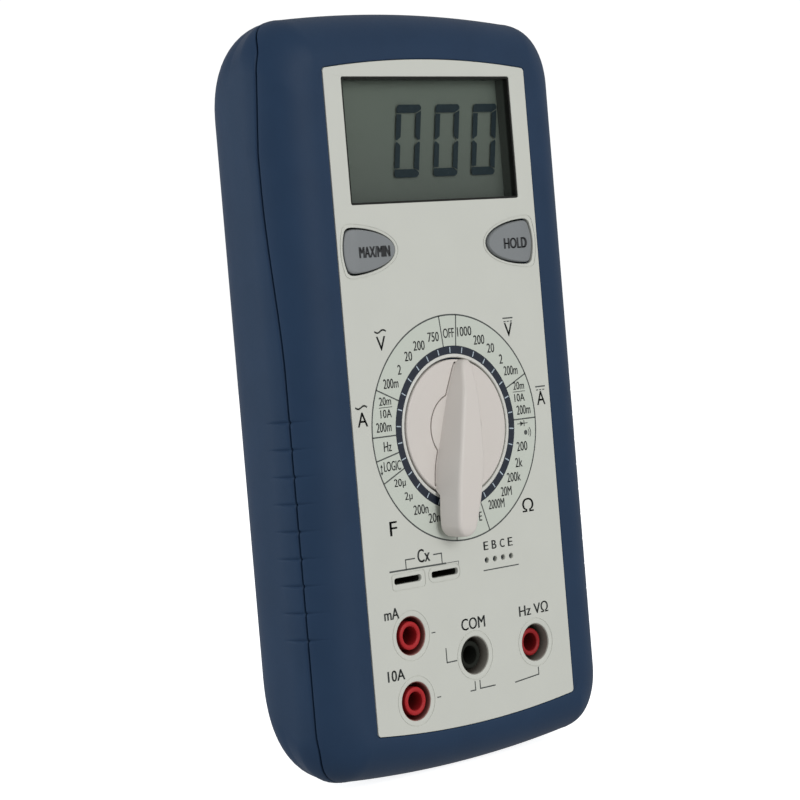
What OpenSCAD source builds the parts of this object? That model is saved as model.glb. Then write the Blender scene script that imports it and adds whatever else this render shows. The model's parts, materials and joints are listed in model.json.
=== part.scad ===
// Hand-held digital multimeter: two case halves, a face panel, a liquid crystal display,
// a rotary range switch, two push buttons, four input jacks and a folding tilt stand.
// X runs across the face, Y from the face to the back and Z up the long axis, in millimetres.
// Places on the face are measured from the dial centre, and depths from the face.

/* [Case] */
// Width across the case
case_w = 87.4; // [86:0.1:92]
// Length of the case from the lower end to the upper end
case_h = 166.9; // [166:0.1:172]
// Depth of the case from the face to the back
case_d = 30.2; // [30.2:0.1:34]
// Height of the dial centre above the lower end
dial_z = 75; // [74:0.5:77]
// Wall thickness of the sides and the back
wall = 2.4; // [2:0.1:2.8]
// Wall thickness of the front, panel included
front_wall = 3.2; // [3.2:0.1:3.4]
// How far the middle of each end bows out beyond its corners
end_sag = 3; // [1:0.5:5]
// Radius of the rounding around the face
front_round = 11; // [9:0.5:12]
// Depth and width of the rounding along the sides of the back
back_round = 15; // [12:0.5:16]
// Length of the rounding at the upper end of the back
back_top_run = 25; // [18:1:30]
// Length of the rounding at the lower end of the back
back_low_run = 38; // [30:1:40]
// Depth of the parting line beside the buttons and the display
seam_high = 8.1; // [7:0.1:9]
// Depth of the parting line beside the hand grip
seam_low = 6.3; // [6:0.1:8]
// Grip grooves on each side
groove_count = 9; // [3:1:11]
// Distance between grip grooves
groove_pitch = 5.77; // [5:0.01:6]

/* [Face panel] */
// Width of the panel
panel_w = 60.4; // [60:0.1:62]
// Top of the panel above the dial centre
panel_top = 80.8; // [80:0.1:82]
// Bottom of the panel below the dial centre
panel_low = 65.3; // [65:0.1:66]
// Thickness of the panel
panel_t = 1; // [0.8:0.1:1.2]
// Bow of the panel's upper and lower edges
panel_sag = 1.9; // [1:0.1:3]

/* [Display] */
// Width of the display opening
view_w = 50.4; // [48:0.1:52]
// Height of the display opening
view_h = 27.3; // [26:0.1:28]
// Height of the middle of the display above the dial centre
view_z = 63.35; // [63:0.05:64]
// Thickness of the clear window
window_t = 1; // [0.8:0.1:1]
// Thickness of the display glass
glass_t = 2.4; // [2.2:0.1:2.6]

/* [Range knob] */
// Radius of the knob disc
knob_r = 15; // [13:0.1:15]
// Height of the knob handle above the face
knob_proud = 6.3; // [5:0.1:8]
// Rest position of the pointer, clockwise from the top
knob_angle = 12; // [0:12:348]
// Number of switch positions around the dial
detent_count = 30; // [20:1:36]
// Reach of the handle's pointer end from the dial centre
pointer_reach = 15; // [13:0.1:15]
// Reach of the handle's thick end from the dial centre
tail_reach = 23.5; // [20:0.1:24]
// Radius of the knob's spindle
spindle_r = 4; // [3.5:0.1:4.5]

/* [Buttons] */
// Distance from the centre line to the outer corners of a button
button_x = 27.1; // [26.5:0.1:27.5]
// Height of the buttons above the dial centre
button_z = 39.85; // [39:0.05:40.5]
// Length of a button from its outer corners to its nose
button_len = 13; // [11:0.1:13.5]
// Half the height of a button
button_half = 4.75; // [4:0.05:4.8]

/* [Input jacks] */
// Distance between the common and the voltage jack
jack_pitch = 19.05; // [19.05]
// Height of the common and voltage jacks below the dial centre
jack_z = -50.4; // [-51:0.1:-50]
// Sideways place of the two current jacks
amp_jack_x = -18.5; // [-19.05:0.05:-18]
// Distance between the two current jacks
amp_jack_pitch = 14.2; // [14:0.1:14.5]
// Radius of the hole in the face around a jack
jack_hole_r = 4.25; // [4.2:0.05:4.5]
// Outer radius of a jack's insulating tube
jack_tube_r = 3.1; // [3:0.05:3.3]
// Bore radius of a brass socket
socket_r = 2; // [2]

/* [Component sockets] */
// Height of the capacitor slots below the dial centre
slot_z = -31.2; // [-31.5:0.1:-31]
// Length of a capacitor slot
slot_len = 7.6; // [7:0.1:8]
// Height of a capacitor slot
slot_h = 1.4; // [1:0.1:1.6]
// Distance between the transistor socket's holes
pin_pitch = 2.54; // [2.54]
// Height of the transistor socket's holes below the dial centre
pin_z = -30.1; // [-30.5:0.1:-29.8]

/* [Board] */
// Depth of the circuit board's front face
board_depth = 8.6; // [8.6:0.1:9]
// Thickness of the circuit board
board_t = 1.6; // [1.2:0.1:1.6]
// Width of the circuit board
board_w = 76; // [74:0.5:77]

/* [Battery] */
// Length, height and thickness of the nine-volt battery's can
battery_size = [46.4, 26.4, 17.4];
// Height of the middle of the battery above the dial centre
battery_z = 44.3; // [44:0.1:45]

/* [Tilt stand] */
// Width of the stand
stand_w = 40; // [36:0.5:42]
// Height of the stand's hinge above the dial centre
hinge_z = 20; // [18:0.5:20]
// Length of the stand from hinge to foot
stand_len = 65; // [60:0.5:66]
// Thickness of the stand
stand_t = 2.6; // [2.2:0.1:2.6]
// Radius of the stand's hinge pins
hinge_r = 1.4; // [1.2:0.1:1.4]

/* [Hidden] */
$fn = 48;

// Overall placing: the middle of the depth is at y = 0, knob included
front_y = (knob_proud - case_d) / 2;
half_w = case_w / 2;
case_top = case_h - dial_z;
board_back = board_depth + board_t;
gap = 0.3;                 // clearance around pieces that move
play = 0.1;                // clearance between pieces that are fixed
over = 0.5;                // how far a cutter runs past a face
skin = 0.01;               // thickness of a slice in a hull
hull_fn = 32;

// Case
front_corner = 11.5;       // corner radius of the case outline at the front and at the back
back_corner = 15;
round_steps = 5;           // slices in each rounding
arc_steps = 5;             // steps in each corner and in half of each bowed end
seam_bend = [10, 50];      // heights between which the parting line changes depth
groove_top = 5.1;          // height of the uppermost grip groove
groove_len = 12.6;
groove_depth = 0.6;
groove_cut_r = 1.2;
boss_x = 36.5;             // the four case screws
boss_z = [-52, 66];
boss_r = 3.2;
boss_end = 12;
post_r = 4.2;
head_seat = 17;
screw_r = 1.4;
head_r = 2.7;

// Range switch
well_depth = 2;
ring_r = [19.6, 21.6];
notch = 0.6;                // depth of a notch
rotor_r = 19.3;
rotor_span = [3.6, 7.6];
rotor_hub_r = 3.4;
ball_r = 1.5;
ball_track = 18;
ball_depth = (rotor_span[0] + rotor_span[1]) / 2;
spring_start = 11.2;

// Buttons
flange_depth = front_wall + 0.2;
flange_t = 0.8;
switch_x = 21;

// Jacks
jack_back = 23;
jack_body_r = 5.4;
collar_r = 5.1;            // sleeves of the panel that line the jack holes
socket_wall_r = 2.9;
socket_start = 6.5;
jack_list = [[amp_jack_x, jack_z + amp_jack_pitch / 2], [amp_jack_x, jack_z - amp_jack_pitch / 2],
             [0, jack_z], [jack_pitch, jack_z]];

// Display
glass_depth = front_wall + 0.8;
glass_w = 58;
glass_h = 29.6;
frame_wall = 1.2;
collar_wall = 0.4;         // lining of the display opening

// Component sockets
slot_x = [-17.9, -7];
slot_tray = [-22.8, -2.7, -32.4, -29.0];
tray_depth = 0.6;
pin_start = 6.0;

// Board
board_top = 84.5;
board_low = 67.5;
board_corner = 9;
board_posts = [[-34, 24], [34, 24], [-34, -22], [34, -22]];
fuse_z = -30;
fuse_depth = 15.2;
big_fuse = [-35, -3];
small_fuse = [5, 25];

// Battery bay, door and stand
bay_x = [-26, 32];
bay_z = [29.6, 59];
bay_wall = 1.2;
door_x = 33;
door_z = [28.4, 66];
door_depth = case_d - 2;
door_screw_z = 62.6;
recess_w = stand_w + 1.6;
recess_depth = 3.3;
recess_floor = 2;
hinge_depth = case_d - 1.7;
pin_reach = 2.2;

battery_x = -24.6;
battery_end = battery_x + battery_size[0];
battery_mid = (door_depth - play + board_back) / 2;
stud_z = 6.35;
lead_r = 0.65;
lead_gap = 5.2;            // distance between the two leads
lead_bends = [[4, 0, 9], [4.9, 0, 9], [5.7, 0, 8.2], [5.9, 0, 6], [5.9, 0, 0], [5.9, 0, -5],
              [5.9, -0.6, -9], [5.9, -2, -11.4], [5.9, -3.4, -12.2]];

// Colours
blue = [0.17, 0.24, 0.33];
pale = [0.76, 0.77, 0.74];
knob_white = [0.78, 0.76, 0.73];
button_grey = [0.49, 0.51, 0.53];
jack_red = [0.62, 0.12, 0.13];
jack_black = [0.11, 0.11, 0.1];
board_green = [0.1, 0.35, 0.2];
steel = [0.7, 0.7, 0.72];
brass = [0.8, 0.65, 0.3];
bronze = [0.72, 0.5, 0.3];

// ---- Placing helpers: x and z from the dial centre, depth from the face ----

module slab(depth, t)
    translate([0, front_y + depth + t, dial_z]) rotate([90, 0, 0]) linear_extrude(t) children();

module rod(x, z, from, to, r)
    translate([x, front_y + from, dial_z + z]) rotate([-90, 0, 0]) cylinder(h = to - from, r = r);

module block(x, z, depth)
    translate([x[0], front_y + depth[0], dial_z + z[0]])
        cube([x[1] - x[0], depth[1] - depth[0], z[1] - z[0]]);

module at_point(x, z, depth) translate([x, front_y + depth, dial_z + z]) children();

module both_sides() {
    children();
    mirror([1, 0, 0]) children();
}

// The stretch from `half` below to `half` above a middle value
function about(middle, half) = [middle - half, middle + half];

// A screw driven from the back, with a cross recess in its head
module screw(x, z, tip, seat, r, head, head_t) {
    recess = head * 0.3;
    rod(x, z, tip, seat, r);
    difference() {
        rod(x, z, seat, seat + head_t, head);
        for (turn = [0, 90])
            at_point(x, z, seat + head_t) rotate([0, turn, 0])
                cube([head * 1.3, head_t, recess], center = true);
    }
}

// A round tube along a list of points. No stretch of the path may run along `ref`.
function unit(v) = v / norm(v);
function tangent(path, i) =
    unit(path[min(i + 1, len(path) - 1)] - path[max(i - 1, 0)]);

module tube_along(path, r, sides, ref) {
    last = len(path) - 1;
    points = [for (i = [0:last]) let (t = tangent(path, i), u = unit(cross(ref, t)), v = cross(t, u))
              for (k = [0:sides - 1]) path[i] + r * (cos(360 * k / sides) * u + sin(360 * k / sides) * v)];
    sides_faces = [for (i = [0:last - 1]) for (k = [0:sides - 1])
                   let (a = i * sides + k, b = i * sides + (k + 1) % sides)
                   for (face = [[a, a + sides, b], [b, a + sides, b + sides]]) face];
    start = [[for (k = [0:sides - 1]) k]];
    end = [[for (k = [sides - 1:-1:0]) last * sides + k]];
    polyhedron(points, concat(start, sides_faces, end));
}

// ---- Case ----

// Drop of a bowed end below its middle, at a distance x from the centre line
function bow(x, sag, w) = sag * pow(x / w, 2);

// One end of the case outline, from the +X side over the end to the -X side.
// Heights are below the middle of the end. `side` and `end` are how far it is drawn in.
function end_outline(side, end, r) =
    let (cx = half_w - r, cz = -end - bow(half_w - r, end_sag, half_w) - r)
    concat([for (i = [0:arc_steps]) let (a = 90 * i / arc_steps)
                [cx + (r - side) * cos(a), cz + r * sin(a)]],
           [for (i = [1:2 * arc_steps - 1]) let (x = cx * (1 - i / arc_steps))
                [x, -end - bow(x, end_sag, half_w)]],
           [for (i = [arc_steps:-1:0]) let (a = 90 * i / arc_steps)
                [-cx - (r - side) * cos(a), cz + r * sin(a)]]);

function case_outline(side, top, low, r) =
    concat([for (p = end_outline(side, top, r)) [p[0], case_top + p[1]]],
           [for (p = end_outline(side, low, r)) [-p[0], -dial_z - p[1]]]);

// The whole case as a solid, drawn in by `inset` all round and by `front` at the face
module case_solid(inset, front) {
    front_r = front_round - front;
    back_r = back_round - inset;
    hull() {
        for (i = [0:round_steps]) let (a = 90 * i / round_steps, in = 1 - cos(a)) {
            slab(front + front_r * (1 - sin(a)), skin)
                polygon(case_outline(inset + (front_round - inset) * in,
                                     inset + (front_round - inset) * in,
                                     inset + (front_round - inset) * in, front_corner));
            slab(case_d - inset - back_r * (1 - sin(a)) - skin, skin)
                polygon(case_outline(inset + back_r * in,
                                     inset + (back_top_run - inset) * in,
                                     inset + (back_low_run - inset) * in, back_corner));
        }
    }
}

// The space in front of the parting line
module seam_side() {
    reach = case_w;
    translate([-reach, front_y, dial_z]) rotate([90, 0, 90]) linear_extrude(2 * reach)
        polygon([[-reach, -reach], [seam_low, -reach], [seam_low, seam_bend[0]],
                 [seam_high, seam_bend[1]], [seam_high, 2 * reach], [-reach, 2 * reach]]);
}

// Shallow lens-shaped grooves that cross the parting line on each side
module grip_grooves()
    both_sides()
        for (i = [0:groove_count - 1])
            at_point(half_w + groove_cut_r - groove_depth, groove_top - i * groove_pitch, seam_low)
                rotate([90, 0, 0])
                    cylinder(h = groove_len, r = groove_cut_r, center = true, $fn = 16);

module panel_shape(grow) {
    w = panel_w / 2 + grow;
    steps = 2 * arc_steps;
    polygon(concat(
        [for (i = [-steps:steps]) let (x = -w * i / steps)
            [x, panel_top + grow - bow(x, panel_sag, w)]],
        [for (i = [-steps:steps]) let (x = w * i / steps)
            [x, -panel_low - grow + bow(x, panel_sag, w)]]));
}

module view_shape(grow)
    translate([0, view_z]) square([view_w + 2 * grow, view_h + 2 * grow], center = true);

// Outline of a button: a bowed outer edge and a half ellipse that ends in a nose
module button_shape(side, grow) {
    sag = 1.2;
    steps = 12;
    scale([side, 1]) translate([button_x, button_z])
        polygon(concat(
            [for (i = [0:steps]) let (a = 90 - 180 * i / steps)
                [-(button_len + grow) * cos(a), (button_half + grow) * sin(a)]],
            [for (i = [0:steps]) let (t = 2 * i / steps - 1)
                [grow + sag * (1 - t * t), (button_half + grow) * t]]));
}

module slot_shape(x)
    translate([x, slot_z]) square([slot_len, slot_h], center = true);

module face_holes(from, to, jack_r) {
    slab(from, to - from) view_shape(0);
    for (side = [-1, 1]) slab(from, to - from) button_shape(side, gap);
    for (j = jack_list) rod(j[0], j[1], from, to, jack_r);
    for (x = slot_x) slab(from, to - from) slot_shape(x);
    for (i = [0:3]) rod(pin_x(i), pin_z, from, to, 0.6);
}

function pin_x(i) = 9.85 + (i - 1.5) * pin_pitch;

module front_cover() color(blue) {
    difference() {
        union() {
            difference() {
                intersection() {
                    case_solid(0, 0);
                    seam_side();
                }
                case_solid(wall, front_wall);
                grip_grooves();
                slab(-over, panel_t + over) panel_shape(0);
            }
            for (z = boss_z) both_sides() rod(boss_x, z, front_wall - play, boss_end, boss_r);
            for (p = board_posts) rod(p[0], p[1], front_wall - play, board_depth, 2.6);
        }
        face_holes(panel_t - over, front_wall + over, collar_r + play);
        rod(0, 0, -over, well_depth, knob_r + gap);
        rod(0, 0, 0, front_wall + over, spindle_r + 0.06);
        for (z = boss_z) both_sides() rod(boss_x, z, 5, boss_end + over, screw_r);
        for (p = board_posts) rod(p[0], p[1], 4.4, board_depth + over, 1.1);
    }
}

module face_panel() color(pale) difference() {
    union() {
        slab(0, panel_t) panel_shape(-0.05);
        for (j = jack_list) rod(j[0], j[1], panel_t - play, front_wall, collar_r);
    }
    face_holes(-over, front_wall + over, jack_hole_r);
    slab(-over, over + tray_depth)
        translate([slot_tray[0], slot_tray[2]])
            square([slot_tray[1] - slot_tray[0], slot_tray[3] - slot_tray[2]]);
    rod(0, 0, -over, panel_t + over, knob_r + gap);
}

module back_cover() color(blue) {
    recess_x = recess_w / 2;
    recess_low = hinge_z - stand_len - 1;
    recess_high = hinge_z + 3.4;
    scoop_r = 7;
    difference() {
        union() {
            difference() {
                case_solid(0, 0);
                seam_side();
                case_solid(wall, front_wall);
                grip_grooves();
            }
            intersection() {
                union() {
                    block([-recess_x - 3, recess_x + 3], [recess_low - 9, recess_high + 1.5],
                          [case_d - recess_depth - recess_floor, case_d]);
                    for (z = boss_z) both_sides() rod(boss_x, z, boss_end + play, case_d, post_r);
                    rod(0, door_screw_z, door_depth - 8, door_depth - play, 3);
                    block([-8, 8], [bay_z[1] + bay_wall, door_screw_z + 3],
                          [door_depth - 8, door_depth - play]);
                }
                case_solid(wall / 2, front_wall);
            }
            difference() {
                block(bay_x + about(0, bay_wall), bay_z + about(0, bay_wall),
                      [board_back + 0.4, case_d - 3.9]);
                block(bay_x, bay_z, [board_back, case_d]);
            }
        }
        block([-recess_x, recess_x], [recess_low, recess_high],
              [case_d - recess_depth, case_d + over]);
        rod(0, recess_low, case_d - recess_depth, case_d + over, scoop_r);
        at_point(0, hinge_z, hinge_depth) rotate([0, 90, 0])
            cylinder(h = recess_w + 2 * pin_reach + 0.4, r = hinge_r + 0.08, center = true);
        block([-door_x, door_x], door_z, [door_depth - play, case_d + over]);
        block(bay_x, bay_z + [0, -0.2], [door_depth - 6, door_depth + over]);
        for (x = [-15, 15]) {
            block(about(x, 3.4), [door_z[0] - 2.2, door_z[0] + 1.4],
                  [door_depth - 2.4, door_depth - 0.6]);
            block(about(x, 3.4), [door_z[0], door_z[0] + 1.4],
                  [door_depth - 2.4, door_depth + over]);
        }
        rod(0, door_screw_z, door_depth - 7, door_depth + over, 1.25);
        for (z = boss_z) both_sides() {
            rod(boss_x, z, boss_end - over, case_d + over, screw_r + 0.2);
            rod(boss_x, z, head_seat, case_d + over, head_r + 0.3);
        }
    }
}

module battery_door() color(blue) {
    clear = 0.15;
    difference() {
        union() {
            intersection() {
                block([-door_x + clear, door_x - clear], door_z + [clear, -clear],
                      [door_depth, case_d + over]);
                case_solid(0, 0);
            }
            for (x = [-15, 15]) {
                block([x - 3, x + 3], [door_z[0] - 1.8, door_z[0] + 1.2],
                      [door_depth - 2.2, door_depth - 0.9]);
                block([x - 3, x + 3], [door_z[0] + clear, door_z[0] + 1.2],
                      [door_depth - 2.2, door_depth]);
            }
        }
        rod(0, door_screw_z, door_depth - over, case_d + over, 1.5);
        rod(0, door_screw_z, door_depth + 0.8, case_d + over, 2.8);
        for (i = [0:5])
            block([-9, 9], [34 + 2 * i, 35 + 2 * i], [case_d - 0.5, case_d + over]);
    }
}

module battery_door_screw() color(steel)
    screw(0, door_screw_z, door_depth - 6, door_depth + 0.8, 1.2, 2.5, 1.1);

module case_screws() color(steel)
    for (z = boss_z) both_sides()
        screw(boss_x, z, 5.2, head_seat, screw_r - 0.05, head_r, 1.8);

module board_screws() color(steel)
    for (p = board_posts) screw(p[0], p[1], 4.6, board_back, 1.05, 2.4, 1.5);

// ---- Display ----

module display_window() color([0.85, 0.9, 0.9, 0.4])
    slab(front_wall - window_t, window_t) view_shape(-collar_wall - play);

module lcd_glass() color([0.34, 0.37, 0.34])
    slab(glass_depth, glass_t)
        translate([0, view_z]) square([glass_w, glass_h], center = true);

// Holder of the display glass, with a collar that lines the opening in the case
module lcd_frame() color(jack_black) {
    outer_w = glass_w + 2 * (frame_wall + play);
    outer_h = glass_h + 2 * (frame_wall + play);
    collar_start = 0.15;
    difference() {
        union() {
            slab(front_wall + play, board_depth - front_wall - play)
                translate([0, view_z]) square([outer_w, outer_h], center = true);
            slab(collar_start, front_wall) view_shape(-play / 2);
        }
        slab(glass_depth - play, board_depth)
            translate([0, view_z]) square([glass_w + 2 * play, glass_h + 2 * play], center = true);
        slab(0, board_depth) view_shape(-collar_wall - play / 2);
    }
}

module zebra_strips() color([0.8, 0.5, 0.55])
    for (end = [-1, 1])
        let (z = view_z + end * (glass_h / 2 - 1.6))
            block([-27, 27], [z - 1, z + 1], [glass_depth + glass_t, board_depth]);

// ---- Board and its parts ----

module main_board() color(board_green) difference() {
    slab(board_depth, board_t)
        offset(r = board_corner, $fn = hull_fn) offset(delta = -board_corner)
            translate([-board_w / 2, -board_low]) square([board_w, board_low + board_top]);
    for (j = jack_list) rod(j[0], j[1], 0, case_d, socket_wall_r + play);
    for (z = boss_z) both_sides() rod(boss_x, z, 0, case_d, boss_r + 0.5);
    for (p = board_posts) rod(p[0], p[1], 0, case_d, 1.3);
}

module button_switches() color(jack_black)
    for (side = [-1, 1]) {
        x = side * switch_x;
        difference() {
            block(about(x, 3), about(button_z, 3), [5.6, board_depth]);
            rod(x, button_z, 0, board_depth - gap, 1.8);
        }
    }

module fuse(x0, x1, z, depth, r, cap) {
    axis = [(x0 + x1) / 2, z, depth];
    at_point(axis[0], axis[1], axis[2]) rotate([0, 90, 0]) {
        cylinder(h = x1 - x0 - 2 * cap, r = r - 0.35, center = true);
        for (end = [-1, 1])
            translate([0, 0, end * (x1 - x0 - cap) / 2]) cylinder(h = cap, r = r, center = true);
    }
}

module fuse_10a() color([0.9, 0.88, 0.82]) fuse(big_fuse[0], big_fuse[1], fuse_z, fuse_depth, 3.2, 6);

module fuse_200ma() color([0.75, 0.8, 0.8]) fuse(small_fuse[0], small_fuse[1], fuse_z, fuse_depth, 2.6, 5);

// A sprung clip that holds one end cap of a fuse
module fuse_clip(x, r) {
    t = 0.5;
    difference() {
        block([x - 2, x + 2], [fuse_z - r - t, fuse_z + r + t], [board_back, fuse_depth + r * 0.7]);
        block([x - 3, x + 3], [fuse_z - r * 0.72, fuse_z + r * 0.72],
              [board_back + t, fuse_depth + r + over]);
        at_point(x, fuse_z, fuse_depth) rotate([0, 90, 0])
            cylinder(h = 6, r = r + 0.03, center = true);
    }
}

module fuse_clips() color(brass) {
    for (x = [big_fuse[0] + 3, big_fuse[1] - 3]) fuse_clip(x, 3.2);
    for (x = [small_fuse[0] + 2.5, small_fuse[1] - 2.5]) fuse_clip(x, 2.6);
}

// A bent bar of resistance wire between the 10 A and the common jack
module current_shunt() color(bronze) {
    r = 0.9;
    z = -64;
    bend = 2.5;
    x = [-13, -2];
    top = board_back + 7;
    path = concat([[x[0], board_back, z]],
                  [for (a = [0:15:90]) [x[0] + bend * (1 - cos(a)), top - bend * (1 - sin(a)), z]],
                  [for (a = [90:-15:0]) [x[1] - bend * (1 - cos(a)), top - bend * (1 - sin(a)), z]],
                  [[x[1], board_back, z]]);
    at_point(0, 0, 0) tube_along(path, r, 12, [0, 0, 1]);
}

module converter_chip() color(jack_black) {
    half = 7;
    block([-half, half], [-half - 2, half - 2], [board_back + 0.2, board_back + 2.2]);
    for (turn = [0:90:270]) at_point(0, -2, board_back) rotate([0, turn, 0])
        for (i = [-7:7]) translate([i * 0.8 - 0.15, 0, half - 0.1]) cube([0.3, 0.5, 1.8]);
}

module crystal() color(steel) {
    half = 3.2;
    block([14 - half, 14 + half], [-18, -14], [board_back, board_back + 3.6]);
    for (side = [-1, 1]) rod(14 + side * half, -16, board_back, board_back + 3.6, 2);
}

module trimmers() color([0.15, 0.35, 0.6])
    for (i = [0:2]) difference() {
        x = -32 + 9 * i;
        block([x - 3.3, x + 3.3], [14, 20.6], [board_back, board_back + 4.5]);
        at_point(x, 17.3, board_back + 4.5) rotate([0, 30 * i, 0])
            cube([4, 1.2, 0.6], center = true);
    }

module precision_resistors() color([0.55, 0.7, 0.8])
    for (i = [0:6])
        at_point(-34 + 3.6 * i, 4, board_back + 1.25)
            cylinder(h = 6.5, r = 1.2, center = true, $fn = 24);

module film_capacitor() color([0.75, 0.3, 0.15])
    block([16, 28], [-14, -8.5], [board_back, board_back + 9]);

module electrolytic_capacitors() color([0.12, 0.14, 0.3])
    for (x = [-30, -23]) rod(x, -12, board_back, board_back + 8, 2.6);

module thermistor() color([0.85, 0.6, 0.15])
    at_point(9, -43, board_back + 6) cylinder(h = 3, r = 5, center = true);

module piezo_buzzer() color(jack_black) difference() {
    rod(26, 8, board_back, board_back + 4.5, 9);
    rod(26, 8, board_back + 3.5, board_back + 5, 1.2);
}

// ---- Battery ----

module battery() color([0.25, 0.25, 0.27]) {
    half_t = battery_size[2] / 2;
    block([battery_x, battery_end], about(battery_z, battery_size[1] / 2),
          about(battery_mid, half_t));
    for (end = [-1, 1])
        at_point(battery_end - play, battery_z + end * stud_z, battery_mid) rotate([0, 90, 0])
            cylinder(h = 2.1, r = end > 0 ? 2.8 : 3.3);
}

module battery_snap() color(jack_black) difference() {
    block([battery_end + 0.2, battery_end + 4], about(battery_z, 12.6), about(battery_mid, 6));
    for (end = [-1, 1])
        at_point(battery_end, battery_z + end * stud_z, battery_mid) rotate([0, 90, 0])
            cylinder(h = 2.3, r = end > 0 ? 3 : 3.5);
}

module battery_leads() color(jack_red)
    for (end = [-1, 1])
        at_point(battery_end, battery_z, battery_mid)
            tube_along([for (p = lead_bends) p + [0, end * lead_gap / 2, 0]], lead_r, 8, [0, 1, 0]);

// ---- Jacks and component sockets ----

module jack(j, face) difference() {
    base_counter = 7.7;
    union() {
        rod(j[0], j[1], face, socket_start + over, jack_tube_r);
        difference() {
            rod(j[0], j[1], front_wall, board_depth, jack_body_r);
            rod(j[0], j[1], front_wall - over, socket_start, jack_hole_r);
        }
    }
    rod(j[0], j[1], face - over, board_depth, socket_r);
    rod(j[0], j[1], socket_start, board_depth + over, socket_wall_r + play);
    rod(j[0], j[1], base_counter, board_depth + over, 4.5);
}

module brass_socket(j) color(brass) {
    end_wall = 1.5;
    difference() {
        union() {
            rod(j[0], j[1], socket_start, jack_back, socket_wall_r);
            rod(j[0], j[1], board_depth - 0.8, board_depth, 4.4);
        }
        rod(j[0], j[1], socket_start - over, jack_back - end_wall, socket_r);
    }
}

module jack_ma() color(jack_red) jack(jack_list[0], 0.2);
module jack_10a() color(jack_red) jack(jack_list[1], 0.2);
module jack_com() color(jack_black) jack(jack_list[2], 1.5);
module jack_volt() color(jack_red) jack(jack_list[3], 1.5);
module socket_ma() brass_socket(jack_list[0]);
module socket_10a() brass_socket(jack_list[1]);
module socket_com() brass_socket(jack_list[2]);
module socket_volt() brass_socket(jack_list[3]);

module capacitor_socket() color(jack_black) difference() {
    block([-24, -1.6], [-34.6, -27], [front_wall, board_depth]);
    for (x = slot_x)
        block(about(x, slot_len / 2 + 0.2), about(slot_z, 1.6),
              [front_wall - over, board_depth - 0.8]);
}

// Two sprung leaves on each side of a capacitor slot
module capacitor_contacts() color(brass)
    for (x = slot_x) for (leaf = [-1, 1])
        block(about(x, 3.2), about(slot_z + leaf * 1.1, 0.2),
              [front_wall + 0.6, board_depth - 0.8]);

module transistor_socket() color([0.85, 0.85, 0.82]) difference() {
    block([3.4, 16.3], [-33, -27.4], [front_wall, board_depth]);
    for (i = [0:3]) rod(pin_x(i), pin_z, front_wall - over, board_depth + over, 0.9);
}

module transistor_contacts() color(brass)
    for (i = [0:3]) difference() {
        rod(pin_x(i), pin_z, front_wall + 0.5, board_depth, 0.85);
        rod(pin_x(i), pin_z, front_wall, pin_start + 1, 0.5);
    }

// ---- Range switch ----

// Turns a piece that is drawn with its pointer up to the knob's rest position
module knob_turn()
    translate([0, 0, dial_z]) rotate([0, knob_angle, 0]) translate([0, 0, -dial_z]) children();

// Ring of notches that the balls click into, one notch for each switch position
module detent_ring() color(pale) slab(front_wall, 3.8) difference() {
    step = 360 / detent_count;
    circle(r = ring_r[1]);
    polygon([for (i = [0:detent_count - 1]) for (p = [[-0.3, 0], [-0.1, notch], [0.1, notch], [0.3, 0]])
             let (a = 90 + step * (i + p[0])) (ring_r[0] + p[1]) * [cos(a), sin(a)]]);
}

module range_knob() color(knob_white) knob_turn() {
    face = -0.3;
    lift = 1;
    shoulder = -5;
    nose_half = 1.5;
    tail_half = 4.2;
    ridge_half = 3;
    difference() {
        union() {
            rod(0, 0, face, well_depth - gap, knob_r);
            rod(0, 0, well_depth - over, rotor_span[0], spindle_r);
            rod(0, 0, front_wall, rotor_span[1] - 0.2, rotor_hub_r);
            hull() {
                rod(0, pointer_reach - nose_half, -2, face, nose_half, $fn = hull_fn);
                rod(0, 0, -2, face, 4.6, $fn = hull_fn);
                rod(0, -knob_r + tail_half, -2, face, tail_half, $fn = hull_fn);
            }
            hull() {
                rod(0, pointer_reach - nose_half, -2, -lift, nose_half, $fn = hull_fn);
                both_sides() rod(tail_half - 2, 2 - tail_reach, -2, -lift, 2, $fn = hull_fn);
                both_sides() rod(4, shoulder, -2, -lift, 1.2, $fn = hull_fn);
                both_sides() rod(ridge_half - 1.2, 1.4 - tail_reach, -knob_proud, -2, 1.2, $fn = hull_fn);
                both_sides() rod(ridge_half - 1.2, shoulder, -knob_proud, -2, 1.2, $fn = hull_fn);
            }
        }
        rod(0, 0, 4.6, rotor_span[1] + over, 1);
    }
}

module switch_rotor() color(pale) knob_turn() difference() {
    rod(0, 0, rotor_span[0], rotor_span[1], rotor_r);
    rod(0, 0, 0, case_d, rotor_hub_r + 0.05);
    for (end = [0, 180])
        at_point(0, 0, ball_depth) rotate([0, end, 0]) translate([0, 0, spring_start - 0.2])
            cylinder(h = rotor_r, r = ball_r + play);
}

module rotor_contacts() color(bronze) knob_turn()
    for (turn = [60, 180, 300])
        at_point(0, 0, rotor_span[1]) rotate([0, turn, 0]) {
            translate([-1.1, 0, 5.4]) cube([2.2, 0.3, 11.8]);
            for (r = [7, 11.5, 16])
                translate([0, 0, r]) rotate([-90, 0, 0]) cylinder(h = 0.9, r = 0.6, $fn = 24);
        }

module rotor_screw() color(steel) knob_turn()
    screw(0, 0, 4.8, rotor_span[1], 0.95, 4, 0.8);

module detent_balls() color(steel) knob_turn()
    for (end = [-1, 1]) at_point(0, end * ball_track, ball_depth) sphere(r = ball_r);

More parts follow.
